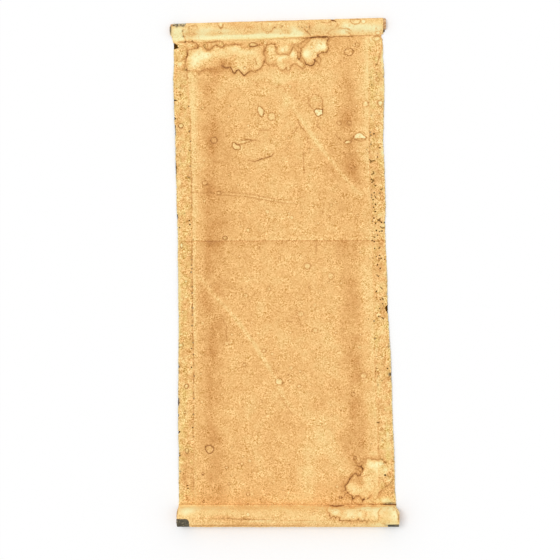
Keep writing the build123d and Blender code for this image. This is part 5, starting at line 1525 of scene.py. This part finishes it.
def clothFinish():
    f = Finish("greyBorderCloth")
    flat = f.read("flat")
    place = f.vector("MULTIPLY", flat, bothFaces)
    x, v, side = f.parts(flat)
    warp = f.math("SINE", x * (math.pi / cloth["thread"]))
    weft = f.math("SINE", v * (math.pi / cloth["thread"]))
    weave = 0.5 + 0.25 * (warp * warp + weft * weft) - 0.5 * abs(warp * weft)
    slub = (f.noise(place, 1.2, 2.0, 21, stretch=(1.0, 0.12, 1.0))
            + f.noise(place, 1.2, 2.0, 22, stretch=(0.12, 1.0, 1.0)))
    stain = f.noise(place, 12.0, 3.0, 23)
    tone = 0.42 * weave + 0.5 * (slub - 1.0) + 0.9 * (stain - 0.5) + 0.25
    outer = f.ramp(cloth["shades"], tone)
    nearHead = f.smooth(v, staveY - 6, staveY + 4)
    film = f.noise(place, 2.6, 3.0, 24)
    outer = f.mix(f.smooth(film, 0.60, 0.68) * 0.5 + nearHead * f.smooth(film, 0.4, 0.6) * 0.75,
                  outer, cloth["leftover"])
    # the inner face in paste stain and painted shade
    inner = f.ramp(cloth["pasted"], tone + 0.5 * (film - 0.5))
    return f.done(f.mix(side, outer, inner), 0.9, 0.10 * weave + 0.05 * slub, level=0.0)


borderCloth = clothFinish()

# Bare painting ground on the front, browned with age
ground = {"tones": [(0.0, colour(176, 140, 92)), (0.5, colour(214, 186, 138)), (1.0, colour(236, 218, 176))]}


def groundFinish():
    f = Finish("barePanelPaper")
    place = f.vector("MULTIPLY", f.read("flat"), bothFaces)
    fibre = f.noise(place, 1.6, 3.0, 31, stretch=(1.0, 0.2, 1.0)) - 0.5
    mottle = f.noise(place, 8.0, 3.0, 32) - 0.5
    cloud = f.noise(place, 70.0, 3.0, 33) - 0.5
    tone = 0.55 + 0.35 * fibre + 0.35 * mottle + 0.6 * cloud
    for away, shown in (f.spots(place, 26.0, 0.8, 2.6, 0.25, 4), f.spots(place, 9.0, 0.3, 0.9, 0.3, 5)):
        tone -= 0.30 * shown * f.smooth(away, 0.6, -0.4)
    return f.done(f.ramp(ground["tones"], tone), 0.85, 0.08 * fibre + 0.10 * mottle)


panelPaper = groundFinish()

# Plain wood of both rods, seen at their ends
wood = {"tones": [(0.0, colour(126, 76, 30)), (0.35, colour(186, 132, 78)), (0.7, colour(222, 180, 130)),
                  (1.0, colour(240, 206, 160))]}


def woodFinish():
    f = Finish("rodWood")
    here = f.add("ShaderNodeTexCoord", output="Object")
    place = f.vector("MULTIPLY", here, (1 / mm, 1 / mm, 1 / mm))
    streak = f.noise(place, 1.8, 2.0, 41, stretch=(0.4, 1.0, 1.0)) - 0.5
    ring = f.noise(place, 5.0, 2.0, 42, stretch=(0.08, 1.0, 0.5)) - 0.5
    tone = 0.5 + 1.3 * streak + 0.9 * ring
    return f.done(f.ramp(wood["tones"], tone), 0.6, 0.08 * streak, level=0.3)


rodWood = woodFinish()
print("finishes mixed")


# Frayed threads on the long edges of the cloth, laid by Geometry Nodes
threads = {
    "count": {-1: 260, 1: 120}, "length": 2.0, "thick": 0.16,  # mm
    "lean": 0.45,  # radians, how far they lean either way
}


def threadTree():
    tree = bpy.data.node_groups.new("FrayedThreads", "GeometryNodeTree")
    face = tree.interface
    for name, kind, value in (("Geometry", "Geometry", None), ("Length", "Float", threads["length"] * mm),
                              ("Thickness", "Float", threads["thick"] * mm), ("Seed", "Int", 7),
                              ("Finish", "Material", None)):
        socket = face.new_socket(name, in_out="INPUT", socket_type="NodeSocket" + kind)
        if value is not None:
            socket.default_value = value
    face.new_socket("Geometry", in_out="OUTPUT", socket_type="NodeSocketGeometry")

    g = Graph(tree)
    given = {socket.name: Wire(g, socket) for socket in g.add("NodeGroupInput").socket.node.outputs}
    # one thread: a short bent line with a thin three-sided profile
    line = g.add("GeometryNodeCurvePrimitiveBezierSegment", sockets={
        "Resolution": 5, "Start": (0, 0, 0), "Start Handle": (0.1, 0.35, 0.02),
        "End Handle": (-0.25, 0.7, -0.05), "End": (0.15, 1, 0.0)})
    size = g.add("ShaderNodeCombineXYZ", sockets={axis: given["Length"] for axis in range(3)})
    sized = g.add("GeometryNodeTransform", sockets={"Geometry": line, "Scale": size})
    section = g.add("GeometryNodeCurvePrimitiveCircle", sockets={
        "Resolution": 3, "Radius": given["Thickness"] * 0.5})
    tube = g.add("GeometryNodeCurveToMesh", sockets={
        "Curve": sized, "Profile Curve": section, "Fill Caps": True})
    # laid on each point, turned about the upright and shortened at random
    turn = g.add("FunctionNodeRandomValue", {"data_type": "FLOAT_VECTOR"}, {
        "Min": (-0.02, -0.15, -0.9), "Max": (0.02, 0.15, 0.9), "Seed": given["Seed"]})
    heading = g.add("GeometryNodeInputNamedAttribute", {"data_type": "FLOAT_VECTOR"}, {"Name": "heading"})
    scale = g.add("FunctionNodeRandomValue", {"data_type": "FLOAT"}, {
        2: 0.3, 3: 1.0, "Seed": given["Seed"]}, output=1)
    laid = g.add("GeometryNodeInstanceOnPoints", sockets={
        "Points": given["Geometry"], "Instance": tube, "Rotation": g.vector("ADD", heading, turn),
        "Scale": scale})
    real = g.add("GeometryNodeRealizeInstances", sockets={0: laid})
    painted = g.add("GeometryNodeSetMaterial", sockets={"Geometry": real, "Material": given["Finish"]})
    g.add("NodeGroupOutput", sockets={0: painted})
    return tree


def threadPoints(side):
    # roots of the threads, at and just inside a long edge, each with its heading
    draw = np.random.default_rng(100 + side)
    ys = draw.uniform(rollerY, staveY, threads["count"][side])
    x = edgeX(side, ys) - side * (clothEdge["inset"] + draw.uniform(0.3, 1.2, len(ys)))
    z = sheet["front"] * draw.uniform(0.4, 0.8, len(ys)) + 0.25 + cockle(x, ys)
    lean = draw.normal(0, threads["lean"], len(ys)) - side * math.pi / 2
    points = bpy.data.meshes.new("threadRoots")
    points.from_pydata((np.stack([x, ys, z], 1) * mm).tolist(), [], [])
    store(points, "heading", np.stack([0 * x, 0 * x, lean], 1))
    return points


def layThreads(name, side, tree):
    piece = placed(name, threadPoints(side))
    modifier = piece.modifiers.new("threads", "NODES")
    modifier.node_group = tree
    names = {item.name: item.identifier for item in tree.interface.items_tree if item.in_out == "INPUT"}
    modifier[names["Seed"]] = 40 + side
    modifier[names["Finish"]] = borderCloth
    depsgraph = bpy.context.evaluated_depsgraph_get()
    mesh = bpy.data.meshes.new_from_object(piece.evaluated_get(depsgraph))
    piece.modifiers.clear()
    piece.data = mesh
    mesh.name = name
    # the weave follows each thread's own place
    spots = np.empty(len(mesh.vertices) * 3, np.float32)
    mesh.vertices.foreach_get("co", spots)
    store(mesh, "flat", spots.reshape(-1, 3) / mm * (1, 1, 0))
    print(f"{name}: {len(mesh.polygons)} faces")
    return piece


tree = threadTree()
leftThreads = layThreads("leftFrayedThreads", -1, tree)
rightThreads = layThreads("rightFrayedThreads", 1, tree)


# What each piece stands for, its finish, and the sheet that it was cut from
fullWidth = sheet["panel"] + sheet["headBorder"] + sheet["footBorder"]
borderWidth = (sheet["headBorder"] + sheet["footBorder"]) / 2
frontRun = frontHigh - frontLow
footWidth, headWidth = footHigh[0] - footLow[0], headHigh[0] - headLow[0]
cuts = {
    "frontPanel": ("front_panel", "panel_paper", panelPaper, sheet["panel"], frontRun),
    "leftBorderCloth": ("left_border_cloth", "border_cloth", borderCloth, borderWidth, frontRun),
    "rightBorderCloth": ("right_border_cloth", "border_cloth", borderCloth, borderWidth, frontRun),
    "lower": ("lower_backing_sheet", "backing_paper", backingPaper, fullWidth, lowerHigh[1] - lowerLow[1]),
    "upper": ("upper_backing_sheet", "backing_paper", backingPaper, fullWidth, upperHigh[1] - upperLow[1]),
    "bottomSleeve": ("bottom_sleeve", "sleeve_paper", sleevePaper, footWidth, footPath.v[-1] - footPath.v[0]),
    "topSleeve": ("top_sleeve", "sleeve_paper", sleevePaper, headWidth, headPath.v[-1] - headPath.v[0]),
}
for key, (node, slotName, finish, width, length) in cuts.items():
    piece = sheets[key]
    piece.data.materials.append(finish)
    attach(piece, "root")
    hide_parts(node)
    width * mm
    length * mm
for piece in (leftThreads, rightThreads):
    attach(piece, "root")
for node in ("bottom_roller", "top_stave"):
    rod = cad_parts[node]
    rod.data.materials.clear()
    rod.data.materials.append(rodWood)
print("pieces tied to the frame")


# Floor, light and camera
studio = {
    "sky": 0.75,  # share of the light that comes from all round
    "sun": 0.25,
    "sunFrom": (-0.35, 0.25, 1.0),  # softly from the stave's end
    "sunWidth": 25.0,  # degrees
    "floor": 4.0,  # metres
}

floorMesh = bpy.data.meshes.new("floor")
reach = studio["floor"] / 2
floorMesh.from_pydata([(-reach, -reach, 0), (reach, -reach, 0), (reach, reach, 0), (-reach, reach, 0)],
                      [], [(0, 1, 2, 3)])
floor = placed("floor", floorMesh)
floorFinish = Finish("paleFloor")
floorShade = floorFinish.add("ShaderNodeBsdfDiffuse", sockets={"Color": colour(255, 255, 255)})
floorFinish.add("ShaderNodeOutputMaterial", sockets={"Surface": floorShade})
floorMesh.materials.append(floorFinish.owner)

world = bpy.data.worlds.new("studio")
bpy.context.scene.world = world
sky = Finish("studio", world)
rays = sky.add("ShaderNodeLightPath").socket.node.outputs
seen = sky.limit(Wire(sky, rays["Is Camera Ray"]) + Wire(sky, rays["Is Glossy Ray"])
                 + Wire(sky, rays["Is Transmission Ray"]))
glow = sky.add("ShaderNodeBackground", sockets={
    "Color": (1.0, 1.0, 1.0, 1.0), "Strength": studio["sky"] + (1 - studio["sky"]) * seen})
sky.add("ShaderNodeOutputWorld", sockets={"Surface": glow})

sunDirection = Vector(studio["sunFrom"]).normalized()
lamp = bpy.data.lights.new("softSun", "SUN")
lamp.energy = studio["sun"] * math.pi / sunDirection.z
lamp.angle = math.radians(studio["sunWidth"])
sun = placed("softSun", lamp)
sun.rotation_euler = sunDirection.to_track_quat("Z", "Y").to_euler()

lens = bpy.data.cameras.new("photoCamera")
lens.lens, lens.sensor_width = photo["lens"], photo["sensor"]
camera = placed("photoCamera", lens)
camera.matrix_world = Matrix.Translation(eye * mm) @ Matrix(toView.T.tolist()).to_4x4()
bpy.context.scene.camera = camera
bpy.context.scene.view_settings.view_transform = "Standard"
print("floor, light and camera set")
